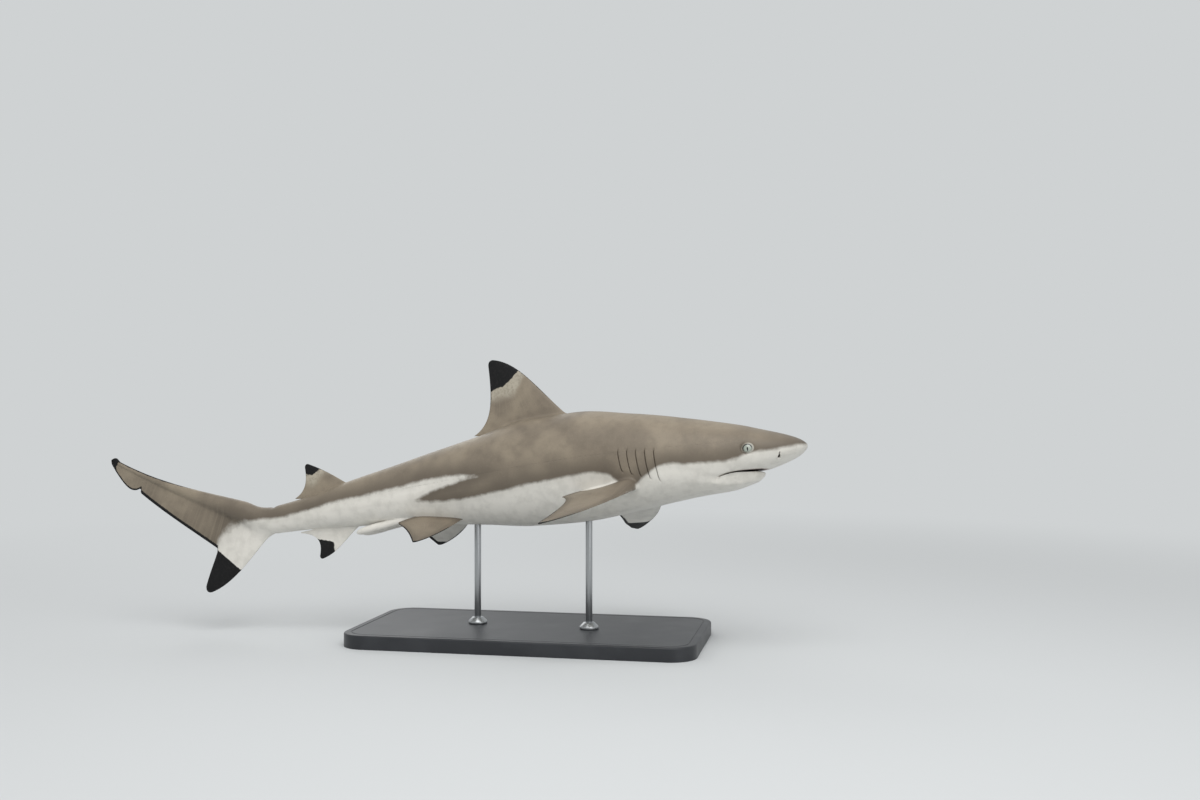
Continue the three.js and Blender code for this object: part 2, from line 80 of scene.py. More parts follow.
def bump(v: Array, wide: float) -> Array:
    """Bell curve of height 1 at v = 0."""
    return np.exp(-(v / wide) ** 2)


def bezier(points: tuple, t: Array) -> Array:
    """Points of a cubic curve.

    Args:
        points: its four control points.
        t: places along it, 0 to 1.
    Returns:
        One row of coordinates per place.
    """
    p, t = np.asarray(points, float), np.asarray(t, float)[..., None]
    u = 1 - t
    return u ** 3 * p[0] + 3 * u * u * t * p[1] + 3 * u * t * t * p[2] + t ** 3 * p[3]


def chain(curves: tuple) -> Array:
    """Points along cubic curves laid end to end."""
    return np.vstack([bezier(c, np.linspace(0, 1, DENSE)) for c in curves])


def unit(v: Array) -> Array:
    """Vectors of length 1."""
    return v / np.maximum(np.linalg.norm(v, axis=-1, keepdims=True), SMALL)


def steps(table: tuple, s: Array) -> Array:
    """Reads a table of (s, value) pairs at s."""
    x, y = zip(*table)
    return np.interp(s, x, y)


# ---- how the animal swims -----------------------------------------------------------------------
@dataclass(frozen=True)
class Swim:
    """The pose: a straight animal's place (s back, y right, z up) goes to metres over the stand."""

    bank: float = 7.0       # degrees, left side down
    pitch: float = 7.7      # degrees, nose up
    yaw: float = 1.0        # degrees, nose to the right
    snout: tuple = (0.488, -0.026, 0.352)
    # first station, last station and degrees of each turn of the backbone
    swings: tuple = ((0, 15, 4.5), (15, 35, -0.5), (35, 55, -12.5), (55, 72, 1.0), (72, 100, 8.0))
    step: float = 0.25
    reach: float = 101.0    # how far back the backbone is followed

    def heading(self, s: Array) -> Array:
        """Direction of the backbone at s, in radians."""
        return np.radians(self.yaw + sum(turn * ease(a, b, s) for a, b, turn in self.swings))

    def place(self, p: Array) -> Array:
        """Bends, banks and pitches points of the straight animal.

        Args:
            p: (n, 3) rows of s, y, z in hundredths of the total length.
        Returns:
            (n, 3) metres in the stand's frame.
        """
        grid = np.arange(round(self.reach / self.step) + 1) * self.step
        middle = self.heading(grid[1:] - self.step / 2)
        x0 = np.concatenate([[0], -np.cumsum(np.cos(middle)) * self.step])
        y0 = np.concatenate([[0], np.cumsum(np.sin(middle)) * self.step])
        turn = np.interp(p[:, 0], grid, self.heading(grid))
        x = np.interp(p[:, 0], grid, x0) - p[:, 1] * np.sin(turn)
        y = np.interp(p[:, 0], grid, y0) - p[:, 1] * np.cos(turn)
        cb, sb = math.cos(math.radians(self.bank)), math.sin(math.radians(self.bank))
        cp, sp = math.cos(math.radians(self.pitch)), math.sin(math.radians(self.pitch))
        yb, zb = y * cb + p[:, 2] * sb, -y * sb + p[:, 2] * cb
        posed = np.stack([x * cp - zb * sp, yb, x * sp + zb * cp], 1)
        return posed * UNIT + np.array(self.snout)


# ---- body ---------------------------------------------------------------------------------------
@dataclass
class Trunk:
    """The body from snout to tail pit: rounded sections strung on measured stations."""

    # s, top, belly, half width, height of the widest line
    stations: tuple = (
        (0, -.05, -.05, 0, -.05), (.3, .48, -.55, 1.3, -.05), (1, .98, -1.08, 2.3, -.08),
        (3.5, 2.05, -2.0, 3.65, -.15), (6, 2.92, -2.6, 4.3, -.15), (7.2, 3.35, -2.85, 4.52, -.1),
        (11, 4.45, -3.9, 5.1, -.2), (15, 5.5, -4.75, 5.5, 0), (18, 6.25, -5.05, 5.75, .2),
        (22, 7.1, -5.5, 5.95, .5), (30, 8.38, -6.12, 5.95, 1.1), (37, 8.3, -5.85, 5.4, 1.3),
        (44, 6.95, -4.9, 4.6, 1.1), (50, 5.75, -4.15, 3.75, .8), (56, 4.4, -3.45, 3.0, .5),
        (62, 3.1, -3.15, 2.35, 0), (68, 1.6, -2.85, 1.8, -.6), (TAIL_PIT, .68, -2.9, 1.4, -1.1))
    probe: float = 1e-3     # half the step over which a slope is measured

    def read(self, column: int, s: Array) -> Array:
        """Smooth monotone reading of one column, in the square root of s so the snout is round."""
        x = np.sqrt([q[0] for q in self.stations])
        y = np.array([q[column] for q in self.stations], float)
        h, d = np.diff(x), np.diff(y) / np.diff(x)
        m = np.concatenate([[d[0]], np.zeros(len(d) - 1), [d[-1]]])
        for i in range(1, len(d)):
            if d[i - 1] * d[i] > 0:
                a, b = h[i - 1], h[i]
                m[i] = 3 * (a + b) / ((2 * b + a) / d[i - 1] + (b + 2 * a) / d[i])
        v = np.sqrt(np.clip(s, 0, self.stations[-1][0]))
        i = np.clip(np.searchsorted(x, v, side="right") - 1, 0, len(h) - 1)
        t = (v - x[i]) / h[i]
        return ((1 + 2 * t) * (1 - t) ** 2 * y[i] + t * (1 - t) ** 2 * h[i] * m[i]
                + t * t * (3 - 2 * t) * y[i + 1] + t * t * (t - 1) * h[i] * m[i + 1])

    def section(self, s: Array) -> tuple:
        """Top, belly, half width and height of the widest line."""
        return tuple(self.read(column, s) for column in (1, 2, 3, 4))

    def fullness(self, s: Array, upper: Array) -> Array:
        """Power of the section's curve: round above, fuller below and most so under the head."""
        return np.where(upper, 2.0, lerp(2.7, 2.15, ease(10, 30, s)))

    def jaw_drop(self, s: Array, y: Array) -> Array:
        """How far the lower jaw hangs below the palate."""
        arch = 5.85 + 5.1 * (np.abs(y) / 4.2) ** 2.6
        return 1.05 * ease(arch - .2, arch + .9, s) * (1 - ease(8, 15.5, s))

    def surface(self, s: Array, a: Array, jaw: bool = True) -> Array:
        """Points of the skin.

        Args:
            s: stations.
            a: ring angles, 0 at the right side and a quarter turn at the back.
            jaw: whether the lower jaw hangs open.
        Returns:
            (..., 3) rows of s, y, z.
        """
        top, belly, half, mid = self.section(s)
        c, v = np.cos(a), np.sin(a)
        full = self.fullness(s, v > 0)
        y = half * power(np.where(np.abs(c) < 1e-9, 0, c), 2 / full)
        z = mid + np.where(v > 0, top - mid, mid - belly) * power(v, 2 / full)
        if jaw:
            z = z - np.where(v < 0, self.jaw_drop(s, y) * ease(0, .75, -v), 0)
        return np.stack([s + 0 * y, y, z], -1)

    def across(self, p: Array) -> tuple:
        """Where points lie in their sections.

        Args:
            p: (..., 3) rows of s, y, z.
        Returns:
            Share of the half width, share of the height, middle of the section and its fullness.
        """
        top, belly, half, mid = self.section(p[..., 0])
        up = p[..., 2] > mid
        v = (p[..., 2] - mid) / np.maximum(np.where(up, top - mid, mid - belly), SMALL)
        return p[..., 1] / np.maximum(half, SMALL), v, mid, self.fullness(p[..., 0], up)

    def angle(self, p: Array) -> Array:
        """Ring angle under a point, measured through the middle of its section."""
        u, v, _, full = self.across(p)
        return np.arctan2(power(v, full / 2), power(u, full / 2))

    def height(self, p: Array) -> Array:
        """Signed distance of a point above the skin, along its section."""
        u, v, mid, full = self.across(p)
        rho = (np.abs(u) ** full + np.abs(v) ** full) ** (1 / full)
        return np.hypot(p[..., 1], p[..., 2] - mid) * (1 - 1 / np.maximum(rho, SMALL))

    def tangents(self, s: Array, a: Array, jaw: bool = True) -> tuple:
        """The skin's tangents along the body and round its ring."""
        e, before = self.probe, np.maximum(s - self.probe, 0)
        along = (self.surface(s + e, a, jaw) - self.surface(before, a, jaw)) / (2 * e)
        return along, (self.surface(s, a + e, jaw) - self.surface(s, a - e, jaw)) / (2 * e)

    def frame_at(self, s: Array, a: Array) -> tuple:
        """Skin point and its outward normal."""
        p, n = self.surface(s, a), unit(np.cross(*self.tangents(s, a)))
        out = p - np.stack([s, 0 * s, self.read(4, s)], -1)
        return p, n * np.where((n * out).sum(-1, keepdims=True) < 0, -1, 1)


# ---- fins ---------------------------------------------------------------------------------------
class Seat(Enum):
    """Where a fin stands on the body."""

    BACK = "on the back"
    BELLY = "under the belly"
    FLANK = "on each flank"


class Part(IntEnum):
    """Numbers that the skin carries for its parts; those of the fins follow the order of FINS."""

    BODY = 0
    FIRST_DORSAL = 1
    SECOND_DORSAL = 2
    ANAL = 3
    PECTORAL = 4
    PELVIC = 5
    TAIL = 9


@dataclass(frozen=True)
class Fin:
    """One fin as chords across its span; margins run root to tip in (s, y, z)."""

    name: str
    seat: Seat
    axis: int               # coordinate that runs up the span
    normal: tuple           # across its thickness
    root: float             # thickness measures, in hundredths of the length
    tip: float
    start: float            # span level of the root, inside the body
    lead: tuple
    trail: tuple
    rows: int
    fillet: float           # radius of the curve from the body into the fin
    round_tip: float        # radius of the tip's outline
    shoulder: float = 0     # muscle hump over the front of the root

    @cached_property
    def sign(self) -> int:
        """+1 where the span rises along its axis, -1 where it falls."""
        return 1 if self.lead[-1][-1][self.axis] > self.start else -1

    @cached_property
    def outline(self) -> tuple:
        """Front and rear margins as dense lines that meet on the rounded tip."""
        r, flip = self.round_tip, np.array([1, self.sign])
        lead, trail = chain(self.lead), chain(self.trail)
        front, rear = lead[:, [0, self.axis]] * flip, trail[:, [0, self.axis]] * flip
        run = unit(np.gradient(front, axis=0))
        hubs = front + r * np.stack([run[:, 1], -run[:, 0]], 1)
        gaps = np.linalg.norm(hubs[:, None] - rear[None], axis=2)
        i = int(np.max(np.nonzero(gaps.min(1) >= r)[0]))
        j, hub = int(np.argmin(gaps[i])), hubs[i]
        turn = [math.atan2(*(q - hub)[::-1]) for q in (front[i], rear[j])]
        top = min(max(math.pi / 2, turn[1]), turn[0])
        out = []
        for line, cut, start in ((lead, i, turn[0]), (trail, j, turn[1])):
            q = np.linspace(start, top, ROUND)[1:, None]
            arc = (hub + r * np.concatenate([np.cos(q), np.sin(q)], 1)) * flip
            full = np.zeros((len(arc), 3))
            full[:, 0], full[:, self.axis] = arc.T
            rest = 3 - self.axis
            level = np.maximum.accumulate(lead[:, self.axis] * self.sign)
            full[:, rest] = np.interp(arc[:, 1] * self.sign, level, lead[:, rest])
            out.append(np.vstack([line[:cut + 1], full]))
        return tuple(out)

    @cached_property
    def end(self) -> float:
        """Span level of the tip, a hair below the very top of its outline."""
        return self.outline[0][-1, self.axis] - self.sign * .012

    def margin(self, rear: bool, level: Array) -> Array:
        """Place where the front or rear margin crosses a level of the span."""
        line = self.outline[int(rear)]
        key = np.maximum.accumulate(line[:, self.axis] * self.sign)
        key = key + np.arange(len(key)) * 1e-9
        return np.stack([np.interp(level * self.sign, key, line[:, k]) for k in range(3)], -1)

    def point(self, chord: Array, level: Array, side: Array) -> Array:
        """Point of the fin's skin.

        Args:
            chord: 0 at the leading edge to 1 at the trailing edge.
            level: place up the span.
            side: +1 or -1 for a face, 0 for the middle of an edge.
        Returns:
            (..., 3) rows of s, y, z.
        """
        t = np.clip((level - self.start) / (self.end - self.start), 0, 1)
        a, b = self.margin(False, level), self.margin(True, level)
        back, long = np.maximum(1 - chord, 0), np.linalg.norm(b - a, axis=-1)
        thick = lerp(self.root, self.tip, t ** 0.7) * ease(0, .6, long + .15)
        half = thick * 1.9 * np.sqrt(chord) * back ** .9
        half = np.maximum(half, 0.04 * np.minimum(1, chord * 40))
        hump = self.shoulder * 4.2 * np.sqrt(chord) * back ** 3 * (1 - ease(.12, .42, t))
        half = half + hump * np.where(side < 0, .3, 1)
        flat = a + (b - a) * chord[..., None]
        return flat + np.array(self.normal) * (side * half)[..., None]


FINS = (
    Fin("first_dorsal", Seat.BACK, 2, (0, 1, 0), .62, .12, 6.3,
        (((28.4, 0, 6.0), (33.2, 0, 9.3), (36.2, 0, 16.4), (40.9, 0, 17.2)),),
        (((41.0, 0, 6.0), (41.8, 0, 6.9), (43.0, 0, 7.05), (44.4, 0, 7.14)),
         ((44.4, 0, 7.14), (41.5, 0, 8.6), (41.3, 0, 11.6), (41.45, 0, 17.1))),
        50, .45, .62),
    Fin("second_dorsal", Seat.BACK, 2, (0, 1, 0), .3, .08, 1.0,
        (((60.0, 0, 1.0), (63.4, 0, 3.4), (64.8, 0, 4.7), (67.8, 0, 6.12)),),
        (((66.2, 0, .9), (67.2, 0, 1.25), (68.4, 0, 1.42), (70.0, 0, 1.5)),
         ((70.0, 0, 1.5), (67.9, 0, 2.5), (68.1, 0, 4.4), (68.25, 0, 6.1))),
        26, .2, .36),
    Fin("anal", Seat.BELLY, 2, (0, 1, 0), .28, .08, -2.2,
        (((59.8, 0, -2.2), (62.9, 0, -3.9), (64.0, 0, -6.3), (66.6, 0, -6.98)),),
        (((66.4, 0, -2.2), (67.2, 0, -3.0), (68.6, 0, -3.08), (70.1, 0, -3.12)),
         ((70.1, 0, -3.12), (66.9, 0, -3.5), (66.4, 0, -4.6), (67.1, 0, -6.96))),
        26, .2, .3),
    Fin("pectoral", Seat.FLANK, 1, (-.16, .2, .97), .5, .08, 3.2,
        (((20.6, 3.0, -2.5), (21.4, 9.8, -3.9), (24.0, 17.4, -6.0), (28.7, 20.8, -6.8)),),
        (((26.2, 3.0, -2.1), (27.8, 5.0, -2.3), (29.3, 6.8, -2.75), (30.1, 8.2, -3.15)),
         ((30.1, 8.2, -3.15), (27.7, 10.6, -3.8), (28.6, 16.5, -5.6), (29.2, 20.8, -6.82))),
        50, .4, .3, shoulder=.95),
    Fin("pelvic", Seat.FLANK, 1, (-.1, .33, .94), .26, .07, 1.35,
        (((46.0, 1.3, -3.5), (47.2, 3.2, -4.6), (49.6, 6.0, -6.1), (51.9, 7.6, -6.5)),),
        (((51.7, 1.3, -2.7), (53.2, 2.2, -2.9), (54.4, 2.8, -3.2), (55.2, 3.4, -3.6)),
         ((55.2, 3.4, -3.6), (53.5, 4.4, -4.5), (52.9, 6.2, -5.8), (52.3, 7.6, -6.52))),
        28, .22, .35),
)


# ---- tail fin -----------------------------------------------------------------------------------
class Edge(Enum):
    """Outline of the tail below and behind, as cubic curves in (s, z)."""

    LOWER_FRONT = ((TAIL_PIT, -2.9), (75.5, -4.4), (78.8, -8.9), (82.5, -9.85))
    LOWER_TIP = ((82.5, -9.85), (83.0, -9.95), (83.35, -9.6), (83.25, -9.0))
    LOWER_REAR = ((83.25, -9.0), (82.7, -7.4), (81.3, -5.4), (81.3, -4.0))
    UPPER_REAR = ((81.3, -4.0), (84.0, -1.8), (89.0, 1.9), (92.15, 4.85))
    NOTCH = ((92.15, 4.85), (92.4, 5.2), (91.9, 5.35), (92.35, 5.55))
    END_LOBE = ((92.35, 5.55), (93.9, 4.9), (94.8, 6.6), (96.5, 9.3))

    def at(self, t: float) -> Array:
        """Point at a share of the curve."""
        return bezier(self.value, np.array(t))


@dataclass
class TailFin:
    """Both lobes of the tail, as ribs fanned from the upper margin down to the lower outline."""

    upper_front: tuple = ((TAIL_PIT, .68), (80.0, 3.4), (88.0, 4.9), (96.3, 10.35))
    tip: tuple = (95.97, 9.72, .58)         # middle and radius of the rounded end
    aim: float = math.radians(48)           # way from that middle to the end's foremost point
    # for each edge, (station on the upper margin, share of the edge) of its ribs
    ribs: tuple = (
        (Edge.LOWER_FRONT, ((TAIL_PIT, 0), (74.1, .1), (74.7, .22), (75.3, .38), (75.9, .56),
                            (76.5, .74), (77.0, .9))),
        (Edge.LOWER_TIP, ((77.35, 0), (77.7, 1))),
        (Edge.LOWER_REAR, ((78.05, .3), (78.4, .62), (78.9, 1))),
        (Edge.UPPER_REAR, ((80.2, .16), (82.4, .36), (84.8, .55), (87.2, .73), (89.3, .88),
                           (91.0, 1))),
        (Edge.END_LOBE, ((91.35, 0), (92.6, .28), (93.7, .5), (94.5, .7), (95.2, .87))))
    between: int = 4

    def rib_ends(self) -> list:
        """(upper station, lower point) of every rib, with finer ribs between the named ones."""
        named = [(edge, s, t) for edge, rows in self.ribs for s, t in rows]
        out = []
        for (e0, s0, t0), (e1, s1, t1) in zip(named, named[1:]):
            for f in np.arange(self.between) / self.between:
                if e0 is e1:
                    low = e1.at(lerp(t0, t1, f))
                elif (e0, e1) == (Edge.UPPER_REAR, Edge.END_LOBE):
                    low = Edge.NOTCH.at(f)
                else:
                    low = e1.at(t1 * f) if t1 > 0 else e0.at(lerp(t0, 1, f))
                out.append((lerp(s0, s1, f), low))
        edge, s, t = named[-1]
        return out + [(s, edge.at(t))]

    def rim(self, turn: float) -> Array:
        """Point on the rounded end of the upper lobe."""
        x, z, r = self.tip
        return np.array([x + r * math.cos(turn), z + r * math.sin(turn)])

    def end_ribs(self) -> list:
        """Upper and lower ends of the ribs that cross that rounded end."""
        turns = np.radians((78, 60, 42, 26, 12))
        return [[self.rim(self.aim + q), self.rim(self.aim - q)] for q in turns]

    def half(self, rib: float, down: Array, length: float) -> Array:
        """Half thickness down a rib: a muscle core under the upper margin and a thin web."""
        back = ease(TAIL_PIT, 95, rib)
        core, bulge = lerp(1.79, .28, back ** .55), lerp(1.4, .2, back ** .62)
        q = (down - core) / core
        muscle = bulge * np.sqrt(np.maximum(1 - q * q, 0))
        edge = np.clip(np.minimum(down, length - down) / 1.2, 0, 1)
        web = lerp(.05, lerp(.3, .1, back), np.sqrt(edge)) * ease(TAIL_PIT, 74.4, rib)
        return np.hypot(muscle, web)

    def rings(self, angles: Array) -> tuple:
        """Points of every half ring, and how far each lies inside the outline.

        Args:
            angles: ring angles from the belly to the back.
        Returns:
            (ribs, columns, 3) points, and their distances from the upper and lower outlines.
        """
        margin = bezier(self.upper_front, np.linspace(0, 1, 400))
        ends = []
        for s, low in self.rib_ends():
            top = np.interp(s, margin[:, 0], margin[:, 1])
            top -= .25 * ease(TAIL_PIT, 75, s) * (1 - ease(75, 77, s))
            ends.append((np.array([s, top]), low))
        rows, margins = [], []
        for high, low in ends + self.end_ribs():
            length = np.linalg.norm(low - high)
            down = length * (1 - np.sin(angles)) / 2
            y = self.half(high[0], down, length)
            y[[0, -1]] = 0
            flat = high + np.outer(down / length, low - high)
            rows.append(np.stack([flat[:, 0], y, flat[:, 1]], 1))
            margins.append(np.stack([down, length - down, 0 * down + 9], 1))
        return np.array(rows), np.array(margins)


# ---- fine features of the head and gills --------------------------------------------------------
@dataclass
class Features:
    """Mouth, eye socket, nostril, gill slits and small folds, as moves of the body's skin."""

    body: Trunk
    eye_at: tuple = (6.93, 3.74, .19)       # centre of the eyeball
    eye_size: float = .84
    lids: tuple = (.58, .50)                # half length and half height of the opening
    opens: tuple = (-.17, 1.0, .06)         # way that the opening faces
    gaze: tuple = (-.02, 1.0, -.15)         # way of the pupil, a little lower and further back
    nostril: tuple = ((3.22, 3.5, -.74), (3.44, 3.16, -1.34))
    lip: float = .26                        # width of the upper lip's roll under the snout
    slot: float = .1                        # what the parting measures in the mouth's field

    # mouth
    def palate(self, s: Array) -> Array:
        """Height of the mouth's roof."""
        return -2.37 - .6 * (np.maximum(0, s - 7.6) / 3.9) ** 2.2

    def parting(self, s: Array) -> Array:
        """Width of skin between the upper and lower lip, closing smoothly towards the corners."""
        at, wide = (6.1, 6.6, 7.2, 8.2, 8.7, 9.3, 10.6), (.66, .46, .33, .22, .14, .08, .03)
        near = np.linspace(-.5, .5, 11)
        return np.mean([np.interp(s + shift, at, wide) for shift in near], axis=0)

    def over_palate(self, s: Array, a: Array) -> Array:
        """Distance along the skin from the upper lip's line, above 0 over it."""
        e = self.body.probe

        def rise(at: Array, turn: Array) -> Array:
            """Height over the mouth's roof."""
            return self.body.surface(at, turn, False)[..., 2] - self.palate(at)

        along, around = self.body.tangents(s, a, False)
        gs = (rise(s + e, a) - rise(s - e, a)) / (2 * e)
        ga = (rise(s, a + e) - rise(s, a - e)) / (2 * e)
        ee, ff, gg = (along ** 2).sum(-1), (along * around).sum(-1), (around ** 2).sum(-1)
        slope = np.sqrt(np.maximum(gg * gs ** 2 - 2 * ff * gs * ga + ee * ga ** 2, 1e-9)
                        / np.maximum(ee * gg - ff ** 2, 1e-9))
        return rise(s, a) / np.maximum(slope, .1)

    def mouth_field(self, s: Array, a: Array) -> Array:
        """Signed place across the lips: above 0 the upper lip, below -slot the lower one."""
        far, wide = self.over_palate(s, a), self.parting(s)
        below = np.where(far > -wide, far / wide * self.slot, wide - self.slot + far)
        return np.where(far > 0, far, below)

    def mouth(self, s: Array, a: Array, p: Array) -> tuple:
        """Draws the lips into the mouth. Returns the moved points and how deep each lies."""
        m = self.mouth_field(s, a)
        keep = (1 - ease(10.0, 11.3, s)) * (s > 4.6) * (p[:, 2] < -1.6)
        lip = lerp(self.lip, .15, ease(6, 9, s))
        full = lerp(.72, .15, ease(6, 8.6, s))
        upper, lower = np.clip(m / lip, 0, 1), np.clip((-m - self.slot) / full, 0, 1)
        inner = (m <= 0) & (m >= -self.slot)
        r = np.where(inner, 1, np.where(m > 0, (1 - upper) ** 1.7, (1 - lower) ** 2.6))
        inward = unit(np.stack([9.5 - s, -p[:, 1], 0 * s], 1))
        out = p + inward * (1.5 * r * keep)[:, None]
        out[:, 2] += np.where(m > 0, self.palate(s) - p[:, 2], 0) * r * keep
        chin = bump(m + self.slot + .62, .55) * (m < 0) * (1 - ease(6.3, 8.0, s)) * keep
        out[:, 0] -= .52 * chin * (1 - .6 * np.clip(np.abs(p[:, 1]) / 3.2, 0, 1))
        corner = bump(np.hypot(s - 11.0, (p[:, 2] + 3.0) * 1.6), .55) * (p[:, 1] > 2)
        out[:, 1] -= .07 * corner
        return out, 1.5 * r * keep

    # eye
    def eye_field(self, p: Array) -> Array:
        """Size of the lid-shaped ring that passes through each point, 1 at the lids' edge."""
        u = (p[..., 0] - self.eye_at[0]) / self.lids[0]
        w = (p[..., 2] - self.eye_at[2]) / self.lids[1]
        return np.where(p[..., 1] > 2, np.hypot(u, w), 99.0)

    def socket(self, p: Array) -> Array:
        """Sinks the opening behind the eyeball and wraps the lids round it."""
        rho, axis = self.eye_field(p), unit(np.array(self.opens))
        rel = p - np.array(self.eye_at)
        base = rel @ axis
        wide = np.linalg.norm(rel - base[:, None] * axis, axis=1)
        ball = np.sqrt(np.maximum(self.eye_size ** 2 - np.minimum(wide, .78) ** 2, 0))
        lid = ball + .05 + .035 * bump(rho - 1.12, .1)
        fold = -.03 * bump(rho - 1.32, .06) * ease(.1, -.3, rel[:, 2])
        target = np.where(rho < .97, lerp(-.12, lid, ease(.8, .97, rho)),
                          lerp(lid, base, ease(1.06, 1.75, rho)) + fold)
        brow = .07 * bump(rel[:, 0] - .1, 1.3) * bump(rel[:, 2] - 1.15, .5) * (p[:, 1] > 2)
        move = np.where(rho < 1.75, target - base, 0) + brow
        return p + move[:, None] * axis

    # nostril
    def from_nostril(self, p: Array) -> tuple:
        """Place along the nostril's slit, 0 to 1, and the way from there to each point."""
        a, b = np.array(self.nostril)
        t = np.clip(((p - a) @ (b - a)) / ((b - a) @ (b - a)), 0, 1)
        return t, p - a - t[..., None] * (b - a)

    def nostril_field(self, p: Array) -> Array:
        """Distance from the nostril's rim, below 0 inside it."""
        return np.linalg.norm(self.from_nostril(p)[1], axis=-1) - .10

    def nose(self, p: Array, n: Array) -> tuple:
        """Opens the nostril, wider below, and lifts a small flap on its front edge."""
        t, away = self.from_nostril(p)
        e, front = np.linalg.norm(away, axis=-1), ease(.04, -.04, away[:, 0])
        wide = lerp(.07, .21, ease(0, .9, t))
        hole = .42 * (1 - ease(.3, 1, e / wide))
        flap = bump(t - .35, .3) * front
        rim = .05 * bump(e - wide - .06, .08) + .07 * flap * bump(e - .14, .1)
        moved = p + n * (rim - hole)[:, None]
        moved[:, 0] += .07 * flap * bump(e - .12, .1)
        return moved, hole

    # gills
    def gill_field(self, p: Array, index: int) -> tuple:
        """(distance behind slit number index, place up it from -1 to 1)."""
        tall, mid = 2.15 - .16 * index, -.55 + .28 * index
        up = (p[..., 2] - mid) / tall
        line = 18.0 + 1.15 * index - .07 + .17 * up + .10 * (1 - up ** 2)
        return p[..., 0] - line, np.where(p[..., 1] > 2, up, 9.0)

    def gills(self, p: Array, n: Array) -> tuple:
        """Cuts five gill slits, each behind a thin flap that laps over it."""
        deep, out = np.zeros(len(p)), p.copy()
        for index in range(5):
            x, up = self.gill_field(p, index)
            window = 1 - ease(.8, 1.02, np.abs(up))
            flap = .055 * bump(x, .34) * (x < .02)
            slit = .30 * ease(-.005, .05, x) * (1 - ease(.08, .36, x))
            out += n * ((flap - slit) * window)[:, None]
            out[:, 0] += .14 * window * bump(x, .1) * (x < .02)
            deep = np.maximum(deep, slit * window)
        return out, deep

    def folds(self, s: Array, p: Array, n: Array) -> Array:
        """The vent and the soft line between the flank's muscles."""
        move = -.13 * bump(p[:, 1], .16) * bump(s - 53.3, .8) * (p[:, 2] < 0)
        flank = bump(p[:, 2] - self.body.read(4, s) - .15, .42) * (p[:, 1] > 1)
        move = move - .05 * flank * ease(26, 34, s) * (1 - ease(66, 73, s))
        return p + n * move[:, None]

    def carve(self, s: Array, a: Array) -> tuple:
        """Skin points with every feature, and how deep each lies in the mouth and in a slit."""
        p, n = self.body.frame_at(s, a)
        middle = np.abs(p[:, 1]) < 1e-7
        p, mouth = self.mouth(s, a, p)
        p, nose = self.nose(self.socket(p), n)
        p, gill = self.gills(p, n)
        p = self.folds(s, p, n)
        p[middle, 1] = 0
        return p, mouth, np.maximum(nose, gill)


# ---- mesh helpers -------------------------------------------------------------------------------
# what a vertex of the skin says about its place when nothing else is given; see SkinBuilder.add
UNSAID = {"law": (0, 0, 0), "ray": (0, 0, 0), "span": (0, 0, 0), "margin": (9, 9, 9)}


def put(mesh: Mesh, name: str, rows: Array) -> None:
    """Writes a three-number attribute on the vertices."""
    layer = mesh.attributes.get(name) or mesh.attributes.new(name, "FLOAT_VECTOR", "POINT")
    layer.data.foreach_set("vector", np.ascontiguousarray(rows, np.float32).ravel())


def get(mesh: Mesh, name: str) -> Array:
    """Reads a three-number attribute."""
    out = np.zeros(len(mesh.vertices) * 3, np.float32)
    mesh.attributes[name].data.foreach_get("vector", out)
    return out.reshape(-1, 3).astype(float)


def get_points(mesh: Mesh) -> Array:
    """Vertex positions as rows."""
    return get(mesh, "position")


def set_points(mesh: Mesh, rows: Array) -> None:
    """Moves every vertex, by the setter that also renews the mesh's bounding box."""
    mesh.vertices.foreach_set("co", np.ascontiguousarray(rows, np.float32).ravel())
    mesh.update()


def on_body(mesh: Mesh) -> Array:
    """Which vertices follow the body's own surface."""
    return get(mesh, "law")[:, 2] > .999


def link(name: str, mesh: Mesh) -> Piece:
    """Shows a mesh as an object of the scene."""
    piece = bpy.data.objects.new(name, mesh)
    bpy.context.scene.collection.objects.link(piece)
    return piece


def only(*pieces: Piece) -> None:
    """Selects one object and nothing else, or nothing at all."""
    bpy.ops.object.select_all(action="DESELECT")
    for piece in pieces:
        piece.select_set(True)
        bpy.context.view_layer.objects.active = piece


def select_faces(piece: Piece, test: callable) -> None:
    """Selects the faces whose vertex numbers pass a test."""
    mesh = piece.data
    for rows in (mesh.vertices, mesh.edges):
        rows.foreach_set("select", np.zeros(len(rows), bool))
    flags = np.array([test(list(face.vertices)) for face in mesh.polygons], bool)
    mesh.polygons.foreach_set("select", flags)


def edit(piece: Piece, action: callable, kind: str = "FACE", every: str = "") -> None:
    """Runs an edit-mode action.

    Args:
        piece: the object, in object mode.
        action: what to do.
        kind: what the action works on, VERT, EDGE or FACE.
        every: SELECT or DESELECT to do that to everything first, or nothing for what is selected.
    """
    only(piece)
    bpy.ops.object.mode_set(mode="EDIT")
    bpy.ops.mesh.select_mode(type=kind)
    if every:
        bpy.ops.mesh.select_all(action=every)
    action()
    bpy.ops.object.mode_set(mode="OBJECT")


def shape(piece: Piece, kind: str, test: callable, *actions: callable) -> None:
    """Runs edit-mode actions on the vertices, edges or faces whose middle passes a test.

    Args:
        piece: the object, in object mode.
        kind: VERT, EDGE or FACE.
        test: takes a point and says whether it is wanted.
        actions: what to do, one after another.
    """
    edit(piece, lambda: None, kind, "DESELECT")
    mesh, at = piece.data, get_points(piece.data)
    rows = {"VERT": mesh.vertices, "EDGE": mesh.edges, "FACE": mesh.polygons}[kind]
    for row in rows:
        own = [row.index] if kind == "VERT" else list(row.vertices)
        row.select = bool(test(at[own].mean(0)))
    edit(piece, lambda: [action() for action in actions], kind)


def face_outward(piece: Piece) -> None:
    """Turns every face of a closed mesh outward."""
    edit(piece, lambda: bpy.ops.mesh.normals_make_consistent(inside=False), every="SELECT")


